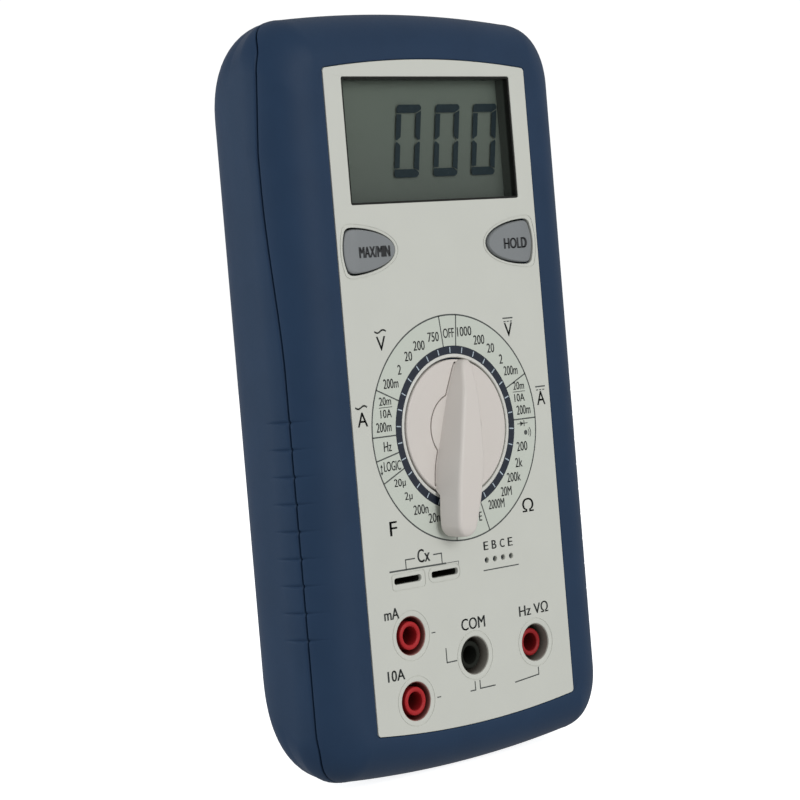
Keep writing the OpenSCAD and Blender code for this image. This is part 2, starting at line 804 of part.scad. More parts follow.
module detent_springs() color(steel) knob_turn() {
    wire_r = 0.2;
    coil_r = 1.1;
    turns = 5;
    per_turn = 9;
    length = ball_track - ball_r - spring_start - 2 * wire_r;
    for (end = [0, 180])
        at_point(0, 0, ball_depth) rotate([0, end, 0]) translate([0, 0, spring_start + wire_r])
            tube_along([for (i = [0:turns * per_turn]) let (a = 360 * i / per_turn)
                        [coil_r * cos(a), coil_r * sin(a), length * i / (turns * per_turn)]],
                       wire_r, 5, [0, 0, 1]);
}

// ---- Buttons ----

module button(side) color(button_grey) {
    slab(-0.7, flange_depth + 0.7) button_shape(side, 0);
    slab(flange_depth, flange_t) button_shape(side, 0.6);
    rod(side * switch_x, button_z, flange_depth, 4.7, 2.2);
}

module plunger(side) color(pale) rod(side * switch_x, button_z, 4.7, 7, 1.7);

module max_min_button() button(-1);
module max_min_plunger() plunger(-1);
module hold_button() button(1);
module hold_plunger() plunger(1);

// ---- Tilt stand ----

module tilt_stand() color(blue) {
    inner = hinge_depth - stand_t / 2;
    pad_w = 6;
    difference() {
        union() {
            block(about(0, stand_w / 2), [hinge_z - stand_len, hinge_z], [inner, inner + stand_t]);
            at_point(0, hinge_z, hinge_depth) rotate([0, 90, 0]) {
                cylinder(h = stand_w, r = stand_t / 2, center = true);
                cylinder(h = recess_w + 2 * pin_reach, r = hinge_r - 0.1, center = true);
            }
        }
        both_sides()
            block([stand_w / 2 - pad_w - 4, stand_w / 2 - pad_w + 1],
                  [hinge_z - stand_len + 8, hinge_z - 8], [inner + stand_t - 0.8, case_d + over]);
    }
}

front_cover();
back_cover();
face_panel();
display_window();
lcd_frame();
lcd_glass();
zebra_strips();
main_board();
detent_ring();
jack_ma();
jack_10a();
jack_com();
jack_volt();
socket_ma();
socket_10a();
socket_com();
socket_volt();
capacitor_socket();
capacitor_contacts();
transistor_socket();
transistor_contacts();
button_switches();
fuse_200ma();
fuse_10a();
fuse_clips();
current_shunt();
converter_chip();
crystal();
trimmers();
precision_resistors();
film_capacitor();
electrolytic_capacitors();
thermistor();
piezo_buzzer();
battery();
battery_snap();
battery_leads();
battery_door();
battery_door_screw();
case_screws();
board_screws();
range_knob();
switch_rotor();
rotor_contacts();
rotor_screw();
detent_balls();
detent_springs();
max_min_button();
max_min_plunger();
hold_button();
hold_plunger();
tilt_stand();
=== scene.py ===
"""Looks of the hand-held digital multimeter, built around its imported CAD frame.

Shapes are drawn in millimetres in the face frame: x runs across the face from the dial
centre, depth runs from the face to the back, and z runs up from the dial centre. The
matrix FACE takes them into the row frame, in metres.
"""
import json
import math
from contextlib import contextmanager

import bmesh
import bpy
import numpy as np
from mathutils import Euler, Matrix, Vector


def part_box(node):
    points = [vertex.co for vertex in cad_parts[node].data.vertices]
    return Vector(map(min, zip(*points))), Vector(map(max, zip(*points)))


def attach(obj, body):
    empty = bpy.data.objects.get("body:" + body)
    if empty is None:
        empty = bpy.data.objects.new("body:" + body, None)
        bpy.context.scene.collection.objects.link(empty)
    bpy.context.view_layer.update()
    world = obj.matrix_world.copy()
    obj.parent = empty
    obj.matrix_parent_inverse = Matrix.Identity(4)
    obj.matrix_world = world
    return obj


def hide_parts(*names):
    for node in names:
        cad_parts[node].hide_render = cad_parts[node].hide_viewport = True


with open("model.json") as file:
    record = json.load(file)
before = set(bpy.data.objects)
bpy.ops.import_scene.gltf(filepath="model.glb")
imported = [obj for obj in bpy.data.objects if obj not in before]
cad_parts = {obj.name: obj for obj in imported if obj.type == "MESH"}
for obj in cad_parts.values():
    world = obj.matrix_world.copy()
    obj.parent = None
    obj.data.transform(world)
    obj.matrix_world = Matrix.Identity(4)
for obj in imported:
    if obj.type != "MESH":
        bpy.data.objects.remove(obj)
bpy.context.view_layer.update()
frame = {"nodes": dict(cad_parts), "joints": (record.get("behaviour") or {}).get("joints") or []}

# ---- Frame ----

MM = 0.001
RIGHT = math.pi / 2
JOINTS = {joint["name"]: joint for joint in frame["joints"]}
DIAL = Vector(JOINTS["range_switch"]["pos_m"])
FACE = Matrix.Translation(DIAL) @ Matrix.Scale(MM, 4)
FACE_BACK = FACE.inverted()


def span(node):
    """Lowest and highest corner of a CAD node, in the face frame."""
    low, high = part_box(node)
    return FACE_BACK @ low, FACE_BACK @ high


def middle(node):
    """Across and up place of the middle of a CAD node, in the face frame."""
    low, high = span(node)
    return (low.x + high.x) / 2, (low.z + high.z) / 2


CASE_LOW, CASE_HIGH = span("back_cover")
HALF_W = CASE_HIGH.x
TOP = CASE_HIGH.z
LOW = -CASE_LOW.z
CASE_D = CASE_HIGH.y

# ---- Case sizes ----

END_SAG = 3.0
FRONT_ROUND = 11.0
FRONT_CORNER = 11.5
FACE_INSET = (11.0, 10.3, 9.1)     # side, top and low end, from the outline to the flat of the face
BACK_ROUND = 15.0
BACK_CORNER = 15.0
BACK_INSET = (15.0, 25.0, 38.0)
WALL = 2.4
FRONT_WALL = 3.2
SEAM_GAP = 0.34
SEAM = 6.1                         # depth of the parting line beside the grip
SEAM_STEPS = ((1.8, 14.0, 56.0), (-1.1, 68.0, 79.0), (5.0, 83.0, 92.0),
              (3.5, -65.0, -76.0))   # change, from, to
GROOVES = 9
GROOVE_TOP = 5.1
GROOVE_PITCH = 5.77
GROOVE_DEEP = 0.34
GROOVE_HALF = 0.6
GROOVE_REACH = (4.2, 6.0)          # towards the face, and towards the back

PANEL_HALF = 30.2
PANEL_TOP = 80.8
PANEL_LOW = 65.3
PANEL_SAG = 1.9
PANEL_CORNER = 0.95
PANEL_T = 1.0

# ---- Face sizes ----

VIEW_HALF_W = 25.2
VIEW_HALF_H = 13.65
VIEW_Z = 63.35
KNOB_R = 15.0
WELL_R = 15.42
KNOB_TURN = math.radians(12)
BUTTON_X = 27.1
BUTTON_Z = 39.85
BUTTON_LEN = 13.0
BUTTON_HALF = 4.75
BUTTON_SAG = 1.2
BUTTON_GAP = 0.42
JACK_HOLE = 4.25
SLOT_Z = -31.2
SLOT_X = (-18.0, -7.0)
SLOT_HALF = 3.95
SLOT_H = 0.7
PINS = [9.85 + (i - 1.5) * 2.54 for i in range(4)]
PIN_Z = -30.1

JACKS = {name: middle("socket_" + name) for name in ("ma", "10a", "com", "volt")}
JACK_FACE = {name: span("jack_" + name)[0].y for name in JACKS}

# ---- Mesh tools ----


@contextmanager
def edited(mesh):
    """The mesh as a bmesh, written back when the block ends."""
    work = bmesh.new()
    work.from_mesh(mesh)
    yield work
    work.to_mesh(mesh)
    work.free()


def mesh_of(vertices, faces):
    """Mesh in the face frame, in millimetres, with its normals facing out."""
    mesh = bpy.data.meshes.new("part")
    mesh.from_pydata([tuple(v) for v in vertices], [], faces)
    with edited(mesh) as work:
        bmesh.ops.remove_doubles(work, verts=work.verts, dist=1e-4)
        bmesh.ops.recalc_face_normals(work, faces=work.faces)
    return mesh


def tube(rings, closed=False):
    """Mesh through rings of points. It is closed on itself, or capped at both ends."""
    count, size = len(rings), len(rings[0])
    vertices = [point for ring in rings for point in ring]
    faces = []
    for i in range(count if closed else count - 1):
        a, b = i * size, (i + 1) % count * size
        faces += [(a + k, a + (k + 1) % size, b + (k + 1) % size, b + k) for k in range(size)]
    if not closed:
        faces += [tuple(range(size))[::-1], tuple(range((count - 1) * size, count * size))]
    return mesh_of(vertices, faces)


def stack(sections):
    """Mesh through flat outlines of equally many points: a list of (outline, depth)."""
    return tube([[(x, depth, z) for x, z in outline] for outline, depth in sections])


def circle(x, z, radius, count=64):
    angles = [2 * math.pi * i / count for i in range(count)]
    return [(x + radius * math.sin(a), z + radius * math.cos(a)) for a in angles]


def lathe(profile, x=0.0, z=0.0, count=96, closed=True):
    """Mesh turned about an axis along the depth: a list of (radius, depth)."""
    rings = [[(px, depth, pz) for px, pz in circle(x, z, radius, count)]
             for radius, depth in profile]
    return tube(rings, closed)


def prism(outline, front, back):
    return stack([(outline, front), (outline, back)])


def rectangle(x0, x1, z0, z1, radius=0.0, steps=6):
    """Outline of a rectangle with round corners."""
    if not radius:
        return [(x0, z0), (x1, z0), (x1, z1), (x0, z1)]
    points = []
    for cx, cz, start in ((x1 - radius, z0 + radius, -90), (x1 - radius, z1 - radius, 0),
                          (x0 + radius, z1 - radius, 90), (x0 + radius, z0 + radius, 180)):
        for i in range(steps + 1):
            a = math.radians(start + 90 * i / steps)
            points.append((cx + radius * math.cos(a), cz + radius * math.sin(a)))
    return points


def block(x0, x1, z0, z1, front, back, radius=0.0):
    return prism(rectangle(x0, x1, z0, z1, radius), front, back)


def post(x, z, radius, front, back, count=40):
    return prism(circle(x, z, radius, count), front, back)


def evaluated(obj):
    """Mesh of an object with its modifiers, after which the object is removed."""
    bpy.context.scene.collection.objects.link(obj)
    graph = bpy.context.evaluated_depsgraph_get()
    mesh = bpy.data.meshes.new_from_object(obj.evaluated_get(graph))
    bpy.data.objects.remove(obj)
    return mesh


def plate(outline, holes, front, back, bevel=0.12):
    """Flat plate with holes and soft edges."""
    curve = bpy.data.curves.new("plate", "CURVE")
    curve.dimensions = "2D"
    curve.fill_mode = "BOTH"
    curve.extrude = (back - front) / 2 - bevel
    curve.bevel_depth = bevel
    curve.bevel_resolution = 1
    curve.offset = -bevel
    for loop, turn in [(outline, 1)] + [(hole, -1) for hole in holes]:
        area = sum(a[0] * b[1] - b[0] * a[1] for a, b in zip(loop, loop[1:] + loop[:1]))
        spline = curve.splines.new("POLY")
        spline.points.add(len(loop) - 1)
        spline.use_cyclic_u = True
        for point, (x, z) in zip(spline.points, loop if area * turn > 0 else loop[::-1]):
            point.co = (x, z, 0, 1)
    mesh = evaluated(bpy.data.objects.new("plate", curve))
    middle_depth = (front + back) / 2
    mesh.transform(Matrix(((1, 0, 0, 0), (0, 0, -1, middle_depth), (0, 1, 0, 0), (0, 0, 0, 1))))
    return cleaned(mesh)


def cleaned(mesh, distance=1e-3):
    with edited(mesh) as work:
        bmesh.ops.remove_doubles(work, verts=work.verts, dist=distance)
        bmesh.ops.dissolve_degenerate(work, edges=work.edges, dist=1e-4)
        bmesh.ops.recalc_face_normals(work, faces=work.faces)
    return mesh


def joined(meshes):
    """One mesh that holds all the islands of several."""
    work = bmesh.new()
    for mesh in meshes:
        work.from_mesh(mesh)
    mesh = bpy.data.meshes.new("part")
    work.to_mesh(mesh)
    work.free()
    return mesh


def carve(mesh, others, operation="DIFFERENCE"):
    """The mesh with the others cut from it, added to it or kept in common with it."""
    obj = bpy.data.objects.new("carved", mesh)
    tool = bpy.data.objects.new("tool", joined(others))
    bpy.context.scene.collection.objects.link(tool)
    modifier = obj.modifiers.new("carve", "BOOLEAN")
    modifier.operation = operation
    modifier.solver = "EXACT"
    modifier.use_self = len(others) > 1
    modifier.object = tool
    result = evaluated(obj)
    bpy.data.objects.remove(tool)
    return cleaned(result, 1e-4)


def turned_up(mesh, angle):
    """Turns a mesh about the depth axis through the dial centre, clockwise on the face."""
    mesh.transform(Matrix.Rotation(angle, 4, "Y"))
    return mesh


def piece(name, mesh, material, body="case", replaces=(), sharp=32):
    """Object of the model from a mesh in the face frame."""
    mesh.transform(FACE)
    mesh.name = name
    with edited(mesh) as work:
        for face in work.faces:
            face.smooth = True
        for edge in work.edges:
            angle = edge.calc_face_angle(0)
            edge.smooth = len(edge.link_faces) == 2 and angle < math.radians(sharp)
    mesh.materials.clear()
    mesh.materials.append(material)
    obj = bpy.data.objects.new(name, mesh)
    bpy.context.scene.collection.objects.link(obj)
    normals = obj.modifiers.new("normals", "WEIGHTED_NORMAL")
    normals.keep_sharp = True
    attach(obj, body)
    if replaces:
        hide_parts(*replaces)
    return obj


# ---- Material tools ----


def tint(red, green, blue):
    """Linear colour from display values of 0 to 255."""
    def linear(value):
        value /= 255
        return value / 12.92 if value <= 0.04045 else ((value + 0.055) / 1.055) ** 2.4
    return linear(red), linear(green), linear(blue), 1.0


def shade(colour, factor):
    return tuple(min(1.0, c * factor) for c in colour[:3]) + (1.0,)


class Surface:
    """A Principled material and the nodes that feed it."""

    def __init__(self, name, roughness, specular, metallic=0.0):
        self.material = bpy.data.materials.new(name)
        self.material.use_nodes = True
        self.tree = self.material.node_tree
        self.bsdf = self.tree.nodes["Principled BSDF"]
        self.bsdf.inputs["Roughness"].default_value = roughness
        self.bsdf.inputs["Specular IOR Level"].default_value = specular
        self.bsdf.inputs["Metallic"].default_value = metallic
        self.place = self.tree.nodes.new("ShaderNodeTexCoord").outputs["Object"]

    def feed(self, socket, value):
        """Links a socket to an output, or sets it to a constant."""
        if isinstance(value, bpy.types.NodeSocket):
            self.tree.links.new(value, socket)
        else:
            socket.default_value = value

    def node(self, kind, **inputs):
        made = self.tree.nodes.new(kind)
        for name, value in inputs.items():
            self.feed(made.inputs[name.replace("_", " ")], value)
        return made

    def noise(self, size, detail=2.0, stretch=None):
        """Noise whose features are `size` millimetres across, drawn out along one axis if asked."""
        place = self.place
        if stretch:
            place = self.node("ShaderNodeMapping", Vector=place, Scale=stretch).outputs["Vector"]
        return self.node("ShaderNodeTexNoise", Vector=place, Scale=1 / (size * MM),
                         Detail=detail).outputs["Fac"]

    def remap(self, value, low, high, start=0.3, end=0.7):
        made = self.node("ShaderNodeMapRange", Value=value)
        for index, number in enumerate((start, end, low, high), start=1):
            made.inputs[index].default_value = number
        return made.outputs["Result"]

    def mix(self, factor, first, second):
        made = self.tree.nodes.new("ShaderNodeMix")
        made.data_type = "RGBA"
        for index, value in ((0, factor), (6, first), (7, second)):
            self.feed(made.inputs[index], value)
        return made.outputs[2]

    def colour(self, value):
        self.feed(self.bsdf.inputs["Base Color"], value)

    def roughness(self, value):
        self.feed(self.bsdf.inputs["Roughness"], value)

    def axis(self, name):
        return self.node("ShaderNodeSeparateXYZ", Vector=self.place).outputs[name]

    def bump(self, height, depth):
        """Relief of `depth` millimetres from a height."""
        made = self.node("ShaderNodeBump", Height=height, Distance=depth * MM, Strength=1.0)
        self.feed(self.bsdf.inputs["Normal"], made.outputs["Normal"])

    def finished(self, grain, smooth, rough, relief):
        """The material, with its roughness and its relief from one grain."""
        self.roughness(self.remap(grain, smooth, rough))
        self.bump(grain, relief)
        return self.material

    def edges(self):
        """How much a place is an outer edge, which plastic makes lighter for wear and a painted
        highlight.
        """
        pointed = self.tree.nodes.new("ShaderNodeNewGeometry").outputs["Pointiness"]
        return self.remap(pointed, 0.0, 1.0, 0.52, 0.6)


def plastic(name, colour, roughness, specular, grain, relief, mottle, wear_and_highlight=0.0):
    """Moulded plastic: faint clouds of colour, a fine eroded grain, and outer edges made lighter
    for wear and a painted highlight.
    """
    surface = Surface(name, roughness, specular)
    spread = 0.06
    clouds = surface.remap(surface.noise(11, 4), 0, 1)
    grain_noise = surface.noise(grain, 3)
    base = surface.mix(clouds, shade(colour, 1 - mottle), shade(colour, 1 + mottle))
    if wear_and_highlight:
        # Lighter outer edges: wear, and a painted highlight where light catches them.
        worn_and_lit_edge = surface.node("ShaderNodeMath", Value=surface.edges()).outputs[0]
        worn_and_lit_edge.node.operation = "MULTIPLY"
        worn_and_lit_edge.node.inputs[1].default_value = wear_and_highlight
        base = surface.mix(worn_and_lit_edge, base, shade(colour, 1.8))
    surface.colour(base)
    return surface.finished(grain_noise, roughness - spread, roughness + spread, relief)


def metal(name, colour, roughness, brush=(1, 1, 1)):
    """Metal with fine tool marks, drawn out along one axis."""
    surface = Surface(name, roughness, 0.5, metallic=1.0)
    marks = surface.noise(0.25, 3, brush)
    tarnish = surface.remap(surface.noise(2.5, 4), 0, 1)
    surface.colour(surface.mix(tarnish, shade(colour, 0.78), shade(colour, 1.08)))
    return surface.finished(marks, roughness - 0.08, roughness + 0.12, 0.006)


def ink(name, colour, roughness=0.5, specular=0.35):
    """Screen-printed ink, a little uneven and slightly raised."""
    surface = Surface(name, roughness, specular)
    spots = surface.noise(0.18, 2)
    cover = surface.remap(surface.noise(1.4, 3), 0, 1)
    surface.colour(surface.mix(cover, shade(colour, 0.92), shade(colour, 1.12)))
    return surface.finished(spots, roughness - 0.08, roughness + 0.1, 0.004)


def clear(name, colour, alpha, roughness=0.06, specular=0.5):
    """Thin clear plastic that lets light through, with faint haze and fine scratches."""
    surface = Surface(name, roughness, specular)
    surface.bsdf.inputs["Alpha"].default_value = alpha
    haze = surface.noise(6, 3)
    surface.colour(surface.mix(surface.remap(haze, 0, 1), colour, shade(colour, 0.93)))
    scratches = surface.noise(0.4, 2, (1, 1, 9))
    return surface.finished(scratches, roughness, roughness + 0.06, 0.0015)


def display_back():
    """Reflector of the display: grey green, with a fine sparkle, and painted light and shade that
    make it lighter at the top and darker towards the bottom.
    """
    surface = Surface("display_back", 0.6, 0.1)
    # Painted light and shade: lighter at the top, darker towards the bottom.
    painted_light_from_above = surface.remap(surface.axis("Z"), 0.0, 1.0, DIAL.z + 0.077, DIAL.z + 0.050)
    tone = surface.mix(painted_light_from_above, tint(94, 104, 95), tint(79, 86, 81))
    sparkle = surface.noise(0.12, 2)
    surface.colour(surface.mix(surface.remap(sparkle, 0.0, 0.16), tone, tint(124, 134, 122)))
    return surface.finished(sparkle, 0.45, 0.62, 0.004)


def solder_mask():
    """Green board with copper tracks that show through as slightly raised lines."""
    surface = Surface("solder_mask", 0.3, 0.5)
    turned = surface.node("ShaderNodeMapping", Vector=surface.place, Rotation=(RIGHT, 0, 0))
    tracks = surface.tree.nodes.new("ShaderNodeTexBrick")
    surface.feed(tracks.inputs["Vector"], turned.outputs["Vector"])
    for name, value in (("Scale", 130.0), ("Mortar Size", 0.055), ("Brick Width", 1.4),
                        ("Row Height", 0.34)):
        tracks.inputs[name].default_value = value
    surface.colour(surface.mix(tracks.outputs["Fac"], tint(12, 74, 42), tint(34, 112, 62)))
    surface.roughness(surface.remap(surface.noise(0.5, 2), 0.22, 0.4))
    surface.bump(tracks.outputs["Fac"], 0.03)
    return surface.material


def banded(name, colour, bands, pitch):
    """Lacquered resistor body with colour bands along Z."""
    surface = Surface(name, 0.35, 0.5)
    wave = surface.node("ShaderNodeMath", Value=surface.axis("Z"))
    wave.operation = "PINGPONG"
    wave.inputs[1].default_value = pitch * MM
    stripe = surface.remap(wave.outputs[0], 1, 0, pitch * MM * 0.3, pitch * MM * 0.36)
    surface.colour(surface.mix(stripe, colour, bands))
    surface.roughness(surface.remap(surface.noise(0.6, 2), 0.28, 0.42))
    surface.bump(surface.noise(0.8, 2), 0.01)
    return surface.material


def dimmed(name, near, far, start, end, roughness=0.4, specular=0.3):
    """Plastic whose colour goes from `near` to `far` between `start` and `end` millimetres behind
    the face; where it darkens deeper in, this is painted shade.
    """
    surface = Surface(name, roughness, specular)
    fall = surface.remap(surface.axis("Y"), 0.0, 1.0, DIAL.y + start * MM, DIAL.y + end * MM)
    grain = surface.noise(0.4, 3)
    tone = surface.mix(fall, near, far)
    surface.colour(surface.mix(surface.remap(grain, 0.0, 0.12), tone, far))
    return surface.finished(grain, roughness - 0.06, roughness + 0.06, 0.004)


# Case blue, with its outer edges made lighter: a painted highlight.
CASE_BLUE = plastic("case_blue", tint(37, 57, 82), 0.5, 0.13, 0.22, 0.01, 0.05, wear_and_highlight=0.2)
PANEL_PALE = plastic("panel_pale", tint(204, 206, 198), 0.5, 0.3, 0.3, 0.003, 0.012)
DIAL_PALE = plastic("dial_pale", tint(198, 204, 194), 0.5, 0.3, 0.3, 0.003, 0.012)
RIM_PALE = plastic("rim_pale", tint(212, 212, 206), 0.45, 0.35, 0.3, 0.003, 0.012)
KNOB_WHITE = plastic("knob_white", tint(212, 206, 200), 0.42, 0.4, 0.35, 0.004, 0.012)
BUTTON_GREY = plastic("button_grey", tint(128, 132, 134), 0.5, 0.35, 0.2, 0.006, 0.03)
# Red insulators, darker deeper in the bore: painted shade.
JACK_RED = dimmed("jack_red", tint(176, 38, 42), tint(116, 26, 28), 0.3, 3.0, 0.45, 0.2)
JACK_BLACK = plastic("jack_black", tint(38, 40, 36), 0.75, 0.06, 0.4, 0.005, 0.08)
# Walls of the jack holes, pale red and pale grey, darkening with depth: painted shade.
WALL_RED_SHADED = dimmed("jack_wall_red_painted_shade", tint(150, 104, 98), tint(112, 48, 44), 0.1, 1.5, 0.5, 0.1)
WALL_PALE_SHADED = dimmed("jack_wall_pale_painted_shade", tint(150, 148, 140), tint(96, 90, 82), 0.1, 3.0, 0.5, 0.1)
# Frame of the display window: black at the front, grey-green deeper in.
FRAME_BLACK = dimmed("frame_black", tint(26, 26, 24), tint(74, 80, 74), 1.3, 1.8, 0.5, 0.15)
ACETAL = plastic("acetal", tint(222, 220, 208), 0.4, 0.45, 0.4, 0.004, 0.02)
CHIP_BLACK = plastic("chip_black", tint(26, 26, 28), 0.55, 0.4, 0.15, 0.012, 0.06)
TRIMMER_BLUE = plastic("trimmer_blue", tint(30, 78, 160), 0.35, 0.5, 0.4, 0.004, 0.05)
FILM_RED = plastic("film_red", tint(176, 66, 32), 0.28, 0.5, 1.2, 0.03, 0.06)
CAN_BLUE = plastic("can_blue", tint(24, 28, 66), 0.25, 0.5, 0.8, 0.004, 0.05)
THERMISTOR = plastic("thermistor_ochre", tint(206, 140, 34), 0.5, 0.4, 0.7, 0.03, 0.07)
ZEBRA = plastic("zebra_rubber", tint(196, 128, 136), 0.6, 0.3, 0.15, 0.02, 0.06)
BATTERY_WRAP = plastic("battery_wrap", tint(58, 60, 66), 0.3, 0.5, 2.0, 0.01, 0.1, wear_and_highlight=0.4)
LEAD_RED = plastic("lead_red", tint(178, 26, 26), 0.45, 0.4, 0.5, 0.01, 0.06)
FUSE_CERAMIC = plastic("fuse_ceramic", tint(226, 222, 206), 0.6, 0.4, 0.3, 0.008, 0.03)
SWITCH_BLACK = plastic("switch_black", tint(34, 34, 35), 0.5, 0.4, 0.3, 0.006, 0.06)
STEEL = metal("plated_steel", tint(196, 196, 200), 0.24)
SPRING_STEEL = metal("spring_steel", tint(176, 176, 182), 0.2)
BRASS = metal("turned_brass", tint(214, 178, 92), 0.22, (1, 6, 1))
BRONZE = metal("sprung_bronze", tint(196, 134, 84), 0.28, (4, 1, 1))
INK_DARK = ink("ink_dark", tint(72, 76, 74))
INK_BLUE = ink("ink_blue", tint(25, 34, 48))
INK_WHITE = ink("ink_white", tint(178, 192, 202))
KEY_INK = ink("key_ink", tint(44, 46, 48))
WINDOW = clear("window_clear", tint(120, 128, 122), 0.02, 0.06, 0.12)
FUSE_GLASS = clear("fuse_glass", tint(208, 222, 222), 0.35, 0.03)
DISPLAY_BACK = display_back()
DISPLAY_INK = ink("display_segments", tint(24, 38, 44), 0.6, 0.1)
SOLDER_MASK = solder_mask()
RESISTORS = banded("resistor_lacquer", tint(148, 186, 204), tint(96, 54, 34), 0.9)

# ---- Case outline ----

CORNER_STEPS = 14
END_STEPS = 40
SIDE, CORNER, END = range(3)


def side_rows():
    """Heights of the points up a side, close together where a grip groove crosses it."""
    across = (-1.0, -0.75, -0.5, -0.32, -0.16, 0.0, 0.16, 0.32, 0.5, 0.75, 1.0)
    low_groove = GROOVE_TOP - (GROOVES - 1) * GROOVE_PITCH
    rows = [GROOVE_TOP - i * GROOVE_PITCH + step for i in range(GROOVES) for step in across]
    rows += [GROOVE_TOP - (i + part) * GROOVE_PITCH for i in range(GROOVES - 1)
             for part in (0.33, 0.5, 0.67)]
    rows += list(np.linspace(low_groove - 7, low_groove - 2, 5))
    rows += list(np.linspace(GROOVE_TOP + 2, 62, 36))
    return sorted(rows)


def ring_points():
    """Kind, side, end, angle or fraction, and row of each point round the outline."""
    rows = side_rows()
    angles = np.linspace(0, RIGHT, CORNER_STEPS + 1)
    points = [(SIDE, 1, 0, 0.0, row) for row in rows]
    points += [(CORNER, 1, 1, a, 0.0) for a in angles]
    points += [(END, 1, 1, f, 0.0) for f in np.linspace(1, -1, END_STEPS + 1)[1:-1]]
    points += [(CORNER, -1, 1, a, 0.0) for a in angles[::-1]]
    points += [(SIDE, -1, 0, 0.0, row) for row in rows[::-1]]
    points += [(CORNER, -1, -1, a, 0.0) for a in angles]
    points += [(END, -1, -1, f, 0.0) for f in np.linspace(-1, 1, END_STEPS + 1)[1:-1]]
    points += [(CORNER, 1, -1, a, 0.0) for a in angles[::-1]]
    return [np.array(column, float) for column in zip(*points)]


KIND, ACROSS, UPWARD, TURN, ROW = ring_points()
FIRST_ROW, LAST_ROW = min(side_rows()), max(side_rows())


def bow(x, sag, width):
    return sag * (x / width) ** 2


def outline_ring(half, top, low, sag, corner, insets):
    """Round an outline with bowed ends, drawn in by `insets` at its side, top and low end."""
    side, top_in, low_in = insets
    cx = half - corner
    drop = bow(cx, sag, half) + corner
    high = top - top_in - drop
    deep = -low + low_in + drop
    first = np.maximum(FIRST_ROW, deep + 1)
    last = np.minimum(LAST_ROW, high - 1)
    rows = first + (ROW - FIRST_ROW) / (LAST_ROW - FIRST_ROW) * (last - first)
    corner_x = cx + (corner - side) * np.cos(TURN)
    x = np.where(KIND == SIDE, half - side, np.where(KIND == CORNER, corner_x, cx * np.abs(TURN)))
    x = x * np.where(KIND == END, np.sign(TURN), ACROSS)
    rise = np.where(KIND == CORNER, corner * np.sin(TURN), drop - bow(x, sag, half))
    z = np.where(UPWARD > 0, high + rise, deep - rise)
    return x, np.where(KIND == SIDE, rows, z)


def seam_depth(z):
    """Depth of the parting line at a height."""
    depth = SEAM
    for change, start, end in SEAM_STEPS:
        share = np.clip((z - start) / (end - start), 0, 1)
        depth = depth + change * share * share * (3 - 2 * share)
    return depth


def groove(z, depth):
    """How deep the grip grooves are at a place on a side."""
    number = np.clip(np.round((GROOVE_TOP - z) / GROOVE_PITCH), 0, GROOVES - 1)
    nearest = GROOVE_TOP - number * GROOVE_PITCH
    reach = np.where(depth < SEAM, *GROOVE_REACH)
    along = np.clip(np.abs(depth - SEAM) / reach, 0, 1)
    half = GROOVE_HALF * (1 - 0.5 * along)
    across = np.clip(np.abs(z - nearest) / half, 0, 1)
    return GROOVE_DEEP * (1 - along) ** 0.8 * (1 - across) ** 1.3


def case_ring(insets, corner, depth, grooved=False):
    x, z = outline_ring(HALF_W, TOP, LOW, END_SAG, corner, insets)
    depth = np.broadcast_to(np.asarray(depth, float), x.shape)
    if grooved:
        x = x - np.where(KIND == SIDE, ACROSS, 0) * groove(z, depth)
    return list(zip(x, depth, z))


BASE_SEAM = seam_depth(outline_ring(HALF_W, TOP, LOW, END_SAG, FRONT_CORNER, (0.0, 0.0, 0.0))[1])


def skin(depth, sunk=0.0, grooved=False):
    """Ring of the case's surface between the face and where the back starts to round off."""
    share = np.clip(np.asarray(depth, float) / FRONT_ROUND, 0, 1)
    rounding = 1 - np.sqrt(1 - (1 - share) ** 2)
    insets = [rounding * inset + sunk for inset in FACE_INSET]
    straight = CASE_D - BACK_ROUND - FRONT_ROUND
    blend = np.clip((np.asarray(depth, float) - FRONT_ROUND) / straight, 0, 1)
    corner = FRONT_CORNER + (BACK_CORNER - FRONT_CORNER) * blend
    return case_ring(insets, corner, depth, grooved)


def back_ring(angle, sunk=0.0):
    """Ring of the rounding of the back, from 0 at its start to a right angle at the flat."""
    radius = BACK_ROUND - sunk
    insets = [sunk + (inset - sunk) * (1 - math.cos(angle)) for inset in BACK_INSET]
    return case_ring(insets, BACK_CORNER, CASE_D - sunk - radius * (1 - math.sin(angle)))


def panel_ring(grow, depth):
    x, z = outline_ring(PANEL_HALF + grow, PANEL_TOP + grow, PANEL_LOW + grow, PANEL_SAG,
                        PANEL_CORNER + grow, (0.0, 0.0, 0.0))
    return list(zip(x, np.full(x.shape, depth), z))


LIP = ((1.5, 0.0), (0.34, 0.0), (0.16, 0.05), (0.04, 0.17), (0.0, 0.36))   # sunk, off the seam


